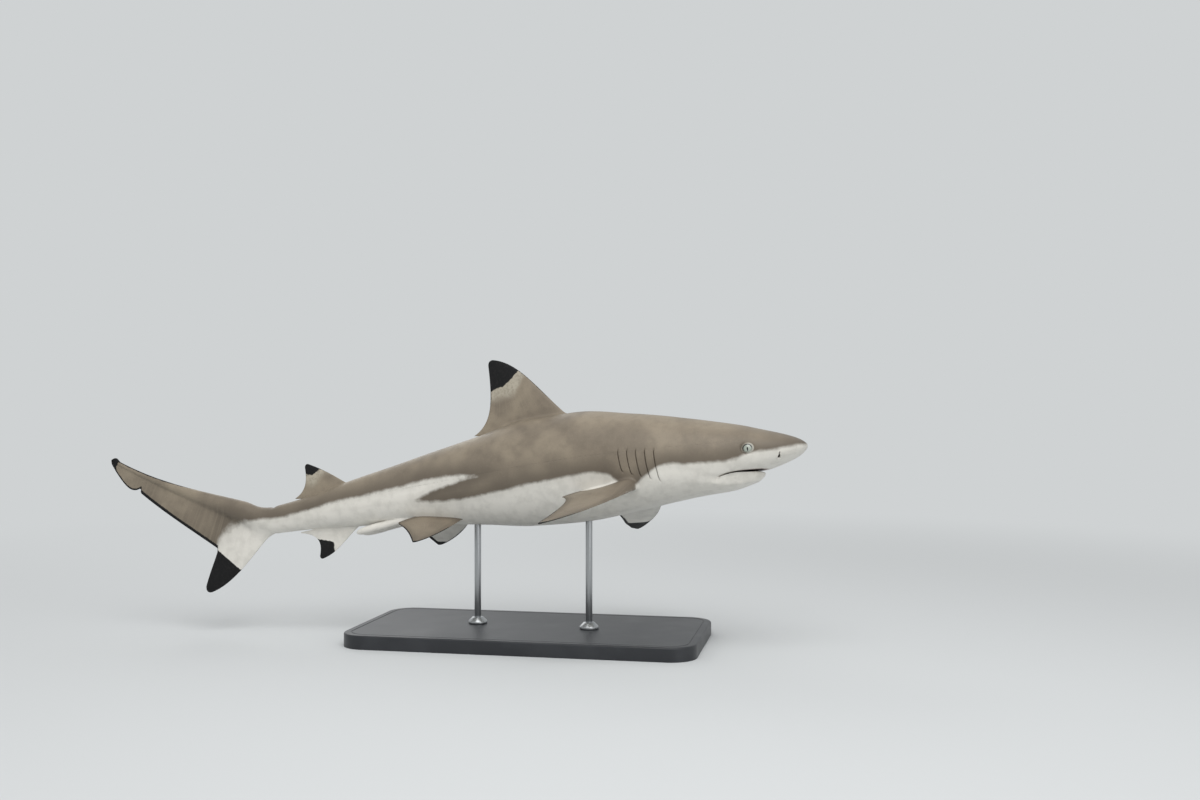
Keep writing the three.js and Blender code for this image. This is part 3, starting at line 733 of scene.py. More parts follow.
def settle(piece: Piece, name: str) -> None:
    """Names a piece and puts its place into its mesh."""
    piece.name = piece.data.name = name
    only(piece)
    bpy.ops.object.transform_apply(location=True, rotation=True, scale=True)


def dress(piece: Piece, material: Material) -> None:
    """Gives a piece its one material and smooth faces."""
    piece.data.materials.clear()
    piece.data.materials.append(material)
    piece.data.polygons.foreach_set("use_smooth", np.ones(len(piece.data.polygons), bool))


# ---- the skin -----------------------------------------------------------------------------------
@dataclass
class SkinBuilder:
    """One closed skin over body, fins and tail, built as its right half and mirrored."""

    body: Trunk = field(default_factory=Trunk)
    tail: TailFin = field(default_factory=TailFin)
    sides: int = 44         # cells round half a ring
    # first station, last station and distance between the rings of each stretch
    runs: tuple = ((2, 17, .25), (17, 28, .2), (28, 46, .3), (46, 54, .22), (54, 60, .3),
                   (60, 70, .22), (70, TAIL_PIT, .3))
    snout_rings: int = 12   # rings before the first stretch, closer towards the snout
    joint_from: float = 71.6    # station where the body starts to blend into the tail fin
    joint_ribs: int = 16    # ribs of the tail fin that take part in that
    joint_passes: int = 14  # rounds of its smoothing
    passes: int = 500       # rounds of smoothing around the fins' roots
    hold: float = .985      # share of a move that each round keeps, so that far cells rest
    crowd: tuple = (1.5, 1.8)   # how closely a fin's rows crowd at its root and at its tip
    fibre: float = 1.6      # distance between the tail's ribs in the measure of its fibres
    seam: float = 2e-6      # metres from the middle within which the halves are joined

    def __post_init__(self) -> None:
        """Lays out the grid that the skin is drawn on."""
        self.features = Features(self.body)
        self.angles = np.linspace(-np.pi / 2, np.pi / 2, self.sides + 1)
        rings = self.runs[0][0] * (np.arange(1, self.snout_rings + 1) / self.snout_rings) ** 2
        stretches = [np.linspace(a, b, round((b - a) / gap) + 1)[1:] for a, b, gap in self.runs]
        self.stations = np.concatenate([rings] + stretches)
        self.s = np.repeat(self.stations[:, None], self.sides + 1, 1)
        self.a = np.repeat(self.angles[None, :], len(self.stations), 0)
        self.fixed = np.zeros(self.s.shape, bool)
        self.goal = np.zeros(self.s.shape + (2,))
        self.points: list = []
        self.layers: dict = {name: [] for name in UNSAID}
        self.faces: list = []

    def add(self, p: Array, **layers: Array) -> Array:
        """Adds vertices.

        Args:
            p: their places.
            layers: law (s, ring angle, 1 on the body's own surface), ray (line across the fin,
                rise, strength), span (chord, face, fin number) and margin (distance from the
                front edge, rear edge and tip).
        Returns:
            Their numbers.
        """
        first = sum(map(len, self.points))
        self.points.append(p)
        for name, value in {**UNSAID, **layers}.items():
            self.layers[name].append(np.broadcast_to(np.asarray(value, float), (len(p), 3)))
        return np.arange(first, first + len(p))

    # fins
    def chords(self, m: int) -> Array:
        """Chord fractions of one face of a fin, close together at the leading edge."""
        return ((np.arange(m + 1) + .5) / (m + .5)) ** 1.25

    def rootline(self, fin: Fin, m: int) -> dict:
        """Where a fin leaves the body, for each point round its section."""
        c, face = self.chords(m), np.ones(m + 1)
        chord, side = np.concatenate([[0], c, [1]]), np.concatenate([[0], face, [0]])
        if fin.seat is Seat.FLANK:
            chord, side = np.concatenate([chord, c[::-1]]), np.concatenate([side, -face])
        r = lerp(fin.fillet, .05, ease(.8, 1.0, chord))

        def level_at(lift: Array) -> Array:
            """Span level where the fin stands this far off the body, by repeated halving."""
            low, high = np.full(len(chord), fin.start), np.full(len(chord), fin.end)
            for _ in range(HALVINGS):
                mid = (low + high) / 2
                out = self.body.height(fin.point(chord, mid, side)) > lift
                low, high = np.where(out, low, mid), np.where(out, mid, high)
            return high

        l0, l1 = level_at(0 * r), level_at(r)
        x = fin.point(chord, l0, side)
        fore = unit(fin.margin(False, l0) - fin.margin(True, l0))
        end = np.zeros(len(chord))
        end[0], end[m + 2] = 1, -1
        for k, w in ((1, .5), (m + 1, -.5)):
            end[k] = w
            if fin.seat is Seat.FLANK:
                end[len(chord) - k] = w
        out = unit(np.array(fin.normal) * side[:, None] + fore * (end * 1.2)[:, None])
        return dict(chord=chord, side=side, l1=l1, x=x, foot=x + out * r[:, None])

    def seat_fin(self, fin: Fin) -> dict:
        """Picks the block of grid cells that a fin grows from and moves its border to the root."""
        coarse = 8              # points of a first, rough root
        foot = self.rootline(fin, coarse)["foot"]
        i0, i1 = (int(np.argmin(np.abs(self.stations - foot[k, 0]))) for k in (0, coarse + 2))
        m = i1 - i0
        root = self.rootline(fin, m)
        foot_a = self.body.angle(root["foot"])
        if fin.seat is Seat.BACK:
            mid, over = self.sides, self.sides - 1
        elif fin.seat is Seat.BELLY:
            mid, over = 0, 1
        else:
            mid = int(np.argmin(np.abs(self.angles - np.mean(foot_a))))
            over = mid + 1
        rows = np.arange(i0, i1 + 1)
        cells = [(i0, mid)] + [(i, over) for i in rows] + [(i1, mid)]
        if fin.seat is Seat.FLANK:
            cells += [(i, mid - 1) for i in rows[::-1]]
        for k, (i, j) in enumerate(cells):
            on_line = fin.seat is not Seat.FLANK and k in (0, m + 2)
            turn = self.angles[mid] if on_line else foot_a[k]
            self.goal[i, j] = (root["foot"][k, 0] - self.s[i, j], turn - self.a[i, j])
            self.fixed[i, j] = True
        return dict(fin=fin, m=m, cells=cells, mid=mid, over=over, i0=i0, i1=i1, root=root)

    def relax(self) -> None:
        """Spreads the moves of the root borders smoothly over the cells around them."""
        free, move = ~self.fixed, self.goal.copy()
        for seat in self.seats:
            for i in range(seat["i0"] + 1, seat["i1"]):
                free[i, seat["mid"]] = True
        for _ in range(self.passes):
            pad = np.pad(move, ((1, 1), (1, 1), (0, 0)), mode="edge")
            pad[:, 0], pad[:, -1] = pad[:, 2], pad[:, -3]
            mean = (pad[:-2, 1:-1] + pad[2:, 1:-1] + pad[1:-1, :-2] + pad[1:-1, 2:]) / 4
            mean[:, [0, -1], 1] = 0
            move = np.where(free[..., None], mean * self.hold, move)
            move[[0, -1]] = 0
        self.s, self.a = self.s + move[..., 0], self.a + move[..., 1]
        self.a[:, 0], self.a[:, -1] = -np.pi / 2, np.pi / 2

    def grow(self, seat: dict, grid: Array, number: int) -> None:
        """Builds a fin up from its root border: fillet, span and tip."""
        fin, root, m = seat["fin"], seat["root"], seat["m"]
        chord, side = root["chord"], root["side"]
        closed = fin.seat is Seat.FLANK
        foot = self.body.surface(root["foot"][:, 0], np.array([self.a[c] for c in seat["cells"]]))
        crest = fin.point(chord, root["l1"], side)
        loop, same = np.array([grid[c] for c in seat["cells"]]), np.ones(len(chord))

        def ring(p: Array, level: Array, rise: float) -> Array:
            """Adds one ring of vertices round the fin."""
            if not closed:
                p = p.copy()
                p[[0, -1], 1] = 0
            wide = np.linalg.norm(fin.margin(False, level) - fin.margin(True, level), axis=1)
            margin = np.stack([chord * wide, (1 - chord) * wide, np.abs(fin.end - level)], 1)
            ray = np.stack([chord * 60, same * rise, same * min(1, rise * 5)], 1)
            span = np.stack([chord, side, same * number], 1)
            return self.add(p, ray=ray, span=span, margin=margin)

        def skirt(a: Array, b: Array) -> None:
            """Adds the faces between two rings."""
            for k in range(len(a) if closed else len(a) - 1):
                j = (k + 1) % len(a)
                self.faces.append((a[k], a[j], b[j], b[k]))

        for t in (.2, .4, .6, .8):
            p = (1 - t) ** 2 * foot + 2 * t * (1 - t) * root["x"] + t * t * crest
            new = ring(p, root["l1"], 0)
            skirt(loop, new)
            loop = new
        u = np.arange(fin.rows + 1) / fin.rows
        low, high = u ** self.crowd[0], (1 - u) ** self.crowd[1]
        for f in low / (low + high):
            level = lerp(root["l1"], fin.end, f)
            new = ring(fin.point(chord, level, side), level, f)
            skirt(loop, new)
            loop = new
        tip = fin.point(chord[1:m + 2], np.full(m + 1, fin.end), np.zeros(m + 1))
        mids = self.add(tip[1:-1], ray=(30, 1, 1), span=(.5, 0, number), margin=(0, 0, 0))
        spine = np.concatenate([[loop[0]], mids, [loop[m + 2]]])
        for k in range(m):
            self.faces.append((loop[k + 1], loop[k + 2], spine[k + 1], spine[k]))
            if closed:
                a, b = loop[len(loop) - 1 - k], loop[len(loop) - 2 - k]
                self.faces.append((a, spine[k], spine[k + 1], b))

    def blend_joint(self, body: Array, ribs: Array, joint: int) -> tuple:
        """Lets the last rings of the body run smoothly into the first ribs of the tail."""
        line = np.concatenate([body[joint:], ribs[:self.joint_ribs]])
        place = np.arange(len(line))
        fade = (ease(0, 5, place) * ease(0, 9, place[::-1]))[:, None, None]
        for _ in range(self.joint_passes):
            mean = (line[:-2] + 2 * line[1:-1] + line[2:]) / 4
            line[1:-1] += (mean - line[1:-1]) * fade[1:-1]
        inner = len(body) - joint
        return line[:inner], np.concatenate([line[inner:], ribs[self.joint_ribs:]])

    def half_mesh(self) -> Piece:
        """Builds the right half of the animal, with the body's fine features still to come."""
        self.seats = [self.seat_fin(fin) for fin in FINS]
        self.relax()
        rows, cols = self.s.shape
        body = self.body.surface(self.s, self.a)
        ribs, margins = self.tail.rings(self.angles)
        ribs, margins = ribs[1:], margins[1:]
        joint = int(np.searchsorted(self.stations, self.joint_from))
        body[joint:], ribs = self.blend_joint(body, ribs, joint)
        law = np.stack([self.s, self.a, np.ones_like(self.s)], -1)
        law[joint + 1:, :, 2] = 0
        pit = -.17 * bump(self.s - 73.0, .33) * ease(.72, 1, np.sin(self.a))
        pit -= .08 * bump(self.s - 73.1, .3) * ease(.8, 1, -np.sin(self.a))
        body += pit[..., None] * self.body.frame_at(self.s, self.a)[1]
        body[:, [0, -1], 1] = 0
        grid = self.add(body.reshape(-1, 3), law=law.reshape(-1, 3)).reshape(rows, cols)
        order = np.arange(len(ribs))[:, None] + np.zeros(cols)
        down = margins[..., 0] / margins[..., :2].sum(-1)
        ray = np.stack([order * self.fibre, np.linspace(0, 1, cols) + 0 * order,
                        ease(3, 16, order) * ease(.1, .4, down)], -1)
        tail = self.add(ribs.reshape(-1, 3), ray=ray.reshape(-1, 3), span=(0, 0, Part.TAIL),
                        margin=margins.reshape(-1, 3)).reshape(order.shape)
        whole = np.vstack([grid, tail])
        gone = set()
        for seat in self.seats:
            under = {Seat.BACK: (seat["over"],), Seat.BELLY: (0,),
                     Seat.FLANK: (seat["mid"] - 1, seat["mid"])}
            gone |= {(i, j) for i in range(seat["i0"], seat["i1"]) for j in under[seat["fin"].seat]}
        for i, (upper, lower) in enumerate(zip(whole, whole[1:])):
            self.faces += [(upper[j], upper[j + 1], lower[j + 1], lower[j])
                           for j in range(cols - 1) if (i, j) not in gone]
        nose = self.add(np.array([[0, 0, self.body.stations[0][1]]]))[0]
        x, z = self.tail.rim(self.tail.aim)
        end = self.add(np.array([[x, 0, z]]), ray=(len(ribs) * self.fibre, .5, 1),
                       span=(0, 0, Part.TAIL), margin=(0, 0, 9))[0]
        for j in range(cols - 1):
            self.faces.append((nose, whole[0, j + 1], whole[0, j]))
            self.faces.append((end, whole[-1, j], whole[-1, j + 1]))
        for number, seat in enumerate(self.seats, Part.FIRST_DORSAL):
            self.grow(seat, grid, number)
        mesh = bpy.data.meshes.new("shark_skin")
        faces = [tuple(int(i) for i in face) for face in self.faces]
        mesh.from_pydata(np.vstack(self.points).tolist(), [], faces)
        for name, values in self.layers.items():
            put(mesh, name, np.vstack(values))
        return link("shark_skin", mesh)

    # features
    def near(self, p: Array, s: Array, a: Array) -> Array:
        """Distance of each point from the closest fine feature."""
        f = self.features
        best = np.maximum(f.eye_field(p) * .65 - .9, 0)
        best = np.minimum(best, np.maximum(f.nostril_field(p) - .2, 0))
        lips = (s > 4.7) & (s < 11.9) & (p[:, 2] < -1.7)
        mouth = np.maximum(np.abs(f.mouth_field(s, a)) - .25, 0)
        best = np.minimum(best, np.where(lips, mouth, 9))
        for index in range(5):
            x, up = f.gill_field(p, index)
            slit = np.maximum(np.abs(x) - .25, 0)
            best = np.minimum(best, np.where(np.abs(up) < 1.2, slit, 9))
        return best

    def reseat(self, mesh: Mesh, p: Array) -> None:
        """Puts every vertex at its place, and the body's own ones back on its surface."""
        law, own = get(mesh, "law"), on_body(mesh)
        p[own] = self.body.surface(law[own, 0], law[own, 1])
        set_points(mesh, p)

    def refine(self, piece: Piece) -> None:
        """Halves the cells close to a feature."""
        mesh = piece.data
        law = get(mesh, "law")
        near = self.near(get_points(mesh), law[:, 0], law[:, 1])
        near[~on_body(mesh)] = 9
        select_faces(piece, lambda verts: near[verts].max() < .6)
        edit(piece, lambda: bpy.ops.mesh.subdivide(number_cuts=1, quadcorner="INNERVERT"))
        self.reseat(mesh, get_points(mesh))

    def score(self, piece: Piece, field_of: callable, levels: tuple, where: callable) -> None:
        """Cuts edge loops along level lines of a field, so that a fold has edges to turn on.

        Args:
            piece: the half skin.
            field_of: gives the field from (points, s, a).
            levels: the levels to cut at.
            where: tells from (points, s, a) which vertices the cuts may touch.
        """
        mesh = piece.data
        p, law = get_points(mesh), get(mesh, "law")
        value = field_of(p, law[:, 0], law[:, 1])
        touch = where(p, law[:, 0], law[:, 1]) & on_body(mesh)
        set_points(mesh, np.stack([law[:, 0], law[:, 1] * 10, np.where(touch, value, 99)], 1))
        put(mesh, "home", p)
        for level in levels:
            value_now = get_points(mesh)[:, 2]
            select_faces(piece, lambda verts: value_now[verts].max() < 50)
            edit(piece, lambda: bpy.ops.mesh.bisect(plane_co=(0, 0, level), plane_no=(0, 0, 1),
                                                    threshold=HAIR))
        self.reseat(mesh, get(mesh, "home"))
        mesh.attributes.remove(mesh.attributes["home"])

    def build(self) -> Piece:
        """The finished skin of the straight animal, in metres, with its attributes."""
        piece, f = self.half_mesh(), self.features
        self.refine(piece)
        # lips: along the upper one, the middle of the parting and the lower one
        lips = ((0, (.3, .2, .12, .05, 0)), (.5, (0,)), (1, (0, -.05, -.12, -.2, -.3)))
        for share, levels in lips:
            self.score(piece, lambda p, s, a: f.over_palate(s, a) + share * f.parting(s), levels,
                       lambda p, s, a: (s > 4.8) & (s < 11.7) & (p[:, 2] < -1.8))
        rings = ((f.eye_field, (.8, .88, .95, 1.0, 1.06, 1.14, 1.24, 1.36), 2.0),
                 (f.nostril_field, (-.05, -.01, .04, .09, .15, .22), .6))
        for field_at, levels, far in rings:
            self.score(piece, lambda p, s, a: field_at(p), levels,
                       lambda p, s, a: field_at(p) < far)
        for index in range(5):
            self.score(piece, lambda p, s, a: f.gill_field(p, index)[0],
                       (-.25, -.1, -.03, .0, .05, .1, .2, .32, .42),
                       lambda p, s, a: (np.abs(f.gill_field(p, index)[1]) < 1.15)
                       & (np.abs(f.gill_field(p, index)[0]) < .62))
        mesh = piece.data
        law, own, p = get(mesh, "law"), on_body(mesh), get_points(mesh)
        depth = np.zeros((len(p), 3))
        p[own], mouth, hole = f.carve(law[own, 0], law[own, 1])
        depth[own, :2] = np.stack([mouth, hole], 1) * MM
        put(mesh, "depth", depth)
        set_points(mesh, p * UNIT)
        only(piece)
        mirror = piece.modifiers.new("other_side", "MIRROR")
        mirror.use_axis = (False, True, False)
        mirror.merge_threshold = self.seam
        bpy.ops.object.modifier_apply(modifier=mirror.name)
        face_outward(piece)
        return piece


# ---- markings -----------------------------------------------------------------------------------
@dataclass(frozen=True)
class Markings:
    """Where the colours of a blacktip reef shark lie; tables are (s, z) in hundredths."""

    # lower edge of the dark back and flank
    lower: tuple = (
        (0, .05), (1.3, 0), (2.5, -.18), (3.4, -.3), (4.7, -.28), (5.7, -.33), (6.8, -.47),
        (7.7, -.7), (8.5, -.95), (9.6, -1.1), (10.8, -1.08), (12, -.97), (13.2, -.93), (14.6, -.85),
        (16, -.6), (17.2, -.55), (18.2, -.8), (19.4, -1.5), (20.4, -2.1), (21.2, -2.9),
        (22.4, -2.8), (23.4, -1.9), (24.2, -1.1), (24.9, -.62), (26.8, -.42), (29, -.39),
        (30.9, -.5), (33, -.63), (36, -.75), (39.7, -1.08), (44.5, -1.35), (47.5, -1.45),
        (50, -1.3), (51.9, -1.05), (52.6, -.85), (54, -.3))
    # upper edge of the dark tongue that the white flash undercuts
    tongue: tuple = (
        (36, 4.7), (43.1, 1.16), (44.05, 1.15), (45.6, .93), (47.5, .64), (50.3, .03), (51.85, -.6),
        (52.6, -.85), (54, -1.4))
    # upper edge of the white flash
    flash: tuple = (
        (38, .8), (43, 1.3), (44, 1.5), (45.6, 1.72), (48.6, 1.83), (51.6, 1.66), (54.5, 1.2),
        (57.3, 1.0), (60.2, .67), (62.3, .52), (64.5, .23), (66.6, -.19), (68.8, -.48), (71.3, -.9),
        (74.5, -.85), (76.7, -.85), (78.9, -1.25), (80.2, -2.0), (81.2, -3.2), (81.7, -4.3),
        (97, -4.3))
    # lower edges of the black and of the light band on the first back fin
    first_black: tuple = (
        (30, 20), (36, 16.2), (36.9, 15.6), (37.4, 15.0), (38.6, 13.95), (39.6, 13.3),
        (40.8, 13.15), (41.55, 12.8), (43, 12.8))
    first_pale: tuple = (
        (30, 19), (36, 15.3), (36.6, 14.35), (38, 12.2), (39.8, 11.9), (41.4, 11.75), (43, 11.7))
    # edges of the black on the second back fin and on the anal fin
    second_black: tuple = (
        (60, 8), (65.5, 6.0), (66.25, 5.13), (67.26, 4.45), (68.3, 4.8), (71, 5))
    anal_black: tuple = (
        (60, -6.1), (65.24, -4.78), (66.88, -4.33), (72, -3))

    @staticmethod
    def by_part(number: Array, out: Array, values: dict) -> Array:
        """Takes the values of some parts over those of the rest."""
        for part, value in values.items():
            out = np.where(number == part, value, out)
        return out

    def back(self, p: Array, span: Array, margin: Array, rise: Array) -> Array:
        """Signed distance inside the dark colour of the back, by body and fin."""
        s, z, number, face = p[:, 0], p[:, 2], span[:, 2], span[:, 1]
        low, flash = z - steps(self.lower, s), steps(self.flash, s)
        notch = np.maximum(z - flash, np.minimum(low, steps(self.tongue, s) - z))
        out = lerp(low, notch, ease(38, 42, s))
        out = out * lerp(1, .4, ease(75, 79, s))
        edge = np.minimum(margin[:, 0], margin[:, 1])
        side = np.where(face >= 0, .12 + edge, .02 - edge)
        wing = np.clip(side * 1.6, -2, 2)
        dorsal, root = np.maximum(out, 1.0), lerp(np.clip(out, -2, 2), wing, ease(0, .03, rise))
        return self.by_part(number, out, {Part.FIRST_DORSAL: dorsal, Part.SECOND_DORSAL: dorsal,
                                          Part.ANAL: -2.0, Part.PECTORAL: root, Part.PELVIC: wing})

    def black(self, p: Array, span: Array, margin: Array) -> Array:
        """Signed distance inside the black tips and hems."""
        s, z, number, under = p[:, 0], p[:, 2], span[:, 2], span[:, 1] < 0
        front, rear, tip = margin.T

        def hem(below: float, above: float, start: float, stop: float) -> Array:
            """Width of a dark hem on each face, shrinking inward from the tip."""
            return np.where(under, below, above) * ease(start, stop, tip) - .08

        line = np.maximum(.07 - front, .06 - rear) - .12 * ease(12.5, 9, z)
        first = np.maximum((z - steps(self.first_black, s)) * .75, line)
        line = .06 - np.minimum(front, rear) - .12 * ease(4.9, 3.9, z)
        second = np.maximum((z - steps(self.second_black, s)) * .7, line)
        anal = np.minimum((steps(self.anal_black, s) - z) * .9, (s - 64.9) * .8)
        wing = np.maximum(hem(.42, .2, 9, 4) - rear, hem(.18, .18, 6, 2) - front)
        wing = np.maximum(np.where(under, 2.6, .55) - tip, wing)
        small = np.maximum(hem(.58, .24, 5.6, 3) - rear, hem(.28, .21, 5, 3) - front)
        small = np.maximum(np.where(under, .95, .30) - tip, small)
        lobe = np.minimum((s - z - 85.4) / 1.41, -3.6 - z)
        rim = np.where(s < 92.2, .42, .24) - rear
        rim = np.where((s > 80.6) & (z > -4.4), rim, -1)
        end = 1.15 - np.hypot(s - 96.4, z - 10.1)
        tail = np.maximum(end, .22 * ease(81, 88, s) - .12 - front)
        tail = np.maximum(np.maximum(lobe, rim), tail)
        return self.by_part(number, np.full(len(p), -3.0), {
            Part.FIRST_DORSAL: first, Part.SECOND_DORSAL: second, Part.ANAL: anal,
            Part.PECTORAL: wing, Part.PELVIC: small, Part.TAIL: tail})

    def pale(self, p: Array, span: Array) -> Array:
        """Signed distance inside the light band below the black of the back fins."""
        s, z = p[:, 0], p[:, 2]
        first = (z - steps(self.first_pale, s)) * .75
        second = (z - steps(self.second_black, s) + 1.15) * .7
        return self.by_part(span[:, 2], np.full(len(p), -3.0),
                            {Part.FIRST_DORSAL: first, Part.SECOND_DORSAL: second})

    def paint(self, skin: Piece, p: Array, features: Features) -> None:
        """Writes every marking on the skin, in millimetres."""
        mesh = skin.data
        span, margin, rise = get(mesh, "span"), get(mesh, "margin"), get(mesh, "ray")[:, 1]
        marks = (self.back(p, span, margin, rise), self.black(p, span, margin), self.pale(p, span))
        put(mesh, "place", p * MM)
        put(mesh, "marks", np.clip(np.stack(marks, 1), -4, 6) * MM)
        line = p[:, 2] - features.body.read(4, p[:, 0]) - lerp(1.5, .3, ease(12, 40, p[:, 0]))
        line = np.where((span[:, 2] == Part.BODY) & (p[:, 0] > 9), line, 9)
        folded = np.stack([p[:, 0], np.abs(p[:, 1]), p[:, 2]], 1)
        rho = np.minimum(features.eye_field(folded), 9)
        put(mesh, "lines", np.stack([line * MM, rho, ease(13, 3, p[:, 0])], 1))


# ---- finishes -----------------------------------------------------------------------------------
def colour(code: str) -> tuple:
    """Linear colour of an sRGB hex value."""
    parts = [int(code[i:i + 2], 16) / 255 for i in (1, 3, 5)]
    return tuple(c / 12.92 if c <= .04045 else ((c + .055) / 1.055) ** 2.4 for c in parts) + (1.0,)


def node(tree: NodeTree, kind: str, links: dict = None, **settings) -> Node:
    """Adds one node.

    Args:
        tree: where it goes.
        kind: what it is, without the ShaderNode that starts its name.
        links: its inputs by name or number: a value, or the output that feeds it.
        settings: its own settings.
    Returns:
        The node.
    """
    made = tree.nodes.new("ShaderNode" + kind)
    for name, value in settings.items():
        setattr(made, name, value)
    for name, value in (links or {}).items():
        if isinstance(value, Socket):
            tree.links.new(value, made.inputs[name])
        else:
            made.inputs[name].default_value = value
    return made


class Coat:
    """A material under way: its tree, and short ways to say a mix, a sum and a soft edge."""

    def __init__(self, name: str) -> None:
        """Starts an empty material."""
        self.material = bpy.data.materials.new(name)
        self.material.use_nodes = True
        self.tree = self.material.node_tree
        self.tree.nodes.clear()

    def add(self, kind: str, links: dict = None, **settings) -> Node:
        """Adds a node to this material."""
        return node(self.tree, kind, links, **settings)

    def math(self, how: str, *values: object) -> Socket:
        """One sum."""
        return self.add("Math", dict(enumerate(values)), operation=how).outputs[0]

    def times(self, a: object, b: object) -> Socket:
        """Product of two values."""
        return self.math("MULTIPLY", a, b)

    def plus(self, a: object, b: object) -> Socket:
        """Sum of two values."""
        return self.math("ADD", a, b)

    def length(self, a: object, b: object) -> Socket:
        """Length of a flat vector."""
        return self.math("SQRT", self.plus(self.times(a, a), self.times(b, b)))

    def mix(self, amount: object, a: object, b: object) -> Socket:
        """Mixes two colours, each a hex value or an output."""
        a, b = (colour(c) if isinstance(c, str) else c for c in (a, b))
        return self.add("Mix", {0: amount, 6: a, 7: b}, data_type="RGBA").outputs[2]

    def step(self, value: object, a: float, b: float, high: float = 1, low: float = 0) -> Socket:
        """Smooth step of a value from low at a to high at b."""
        return self.add("MapRange", {0: value, 1: a, 2: b, 3: low, 4: high},
                        interpolation_type="SMOOTHSTEP").outputs[0]

    def over(self, under: object, paint: object, value: object, a: float, b: float,
             most: float = 1) -> Socket:
        """Lays a paint over a colour, from nothing where the value is a to its most at b."""
        return self.mix(self.step(value, a, b, most), under, paint)

    def noise(self, where: object, size: float, detail: float = 2, rough: float = .5) -> Socket:
        """Soft noise with blotches of a size in the units of its coordinates."""
        return self.add("TexNoise", {"Vector": where, "Scale": 1 / size, "Detail": detail,
                                     "Roughness": rough}).outputs["Fac"]

    def streaks(self, where: object, scale: float, detail: float, rough: float = .5) -> Socket:
        """Soft noise along one line."""
        links = {"W": where, "Scale": scale, "Detail": detail, "Roughness": rough}
        return self.add("TexNoise", links, noise_dimensions="1D").outputs["Fac"]

    def parts(self, vector: object) -> list:
        """The three numbers of a vector."""
        return list(self.add("SeparateXYZ", {0: vector}).outputs)

    def layer(self, name: str) -> list:
        """The three numbers of an attribute, and all of it."""
        out = self.add("Attribute", attribute_name=name).outputs["Vector"]
        return self.parts(out) + [out]

    def bump(self, height: object, reach: float, strength: float, under: object = None) -> Socket:
        """Raises the surface by a height; its reach is in metres."""
        links = {"Height": height, "Distance": reach, "Strength": strength}
        return self.add("Bump", links if under is None else {**links, "Normal": under}).outputs[0]

    def finish(self, normal: object = None, **values: object) -> Material:
        """Closes the material with its shader; values are named after the shader's inputs."""
        links = {key.replace("_", " "): value for key, value in values.items()}
        if normal is not None:
            links["Normal"] = normal
        return self.close(self.add("BsdfPrincipled", links))

    def close(self, shader: Node) -> Material:
        """Gives the material its surface."""
        self.add("OutputMaterial", {0: shader.outputs[0]})
        return self.material


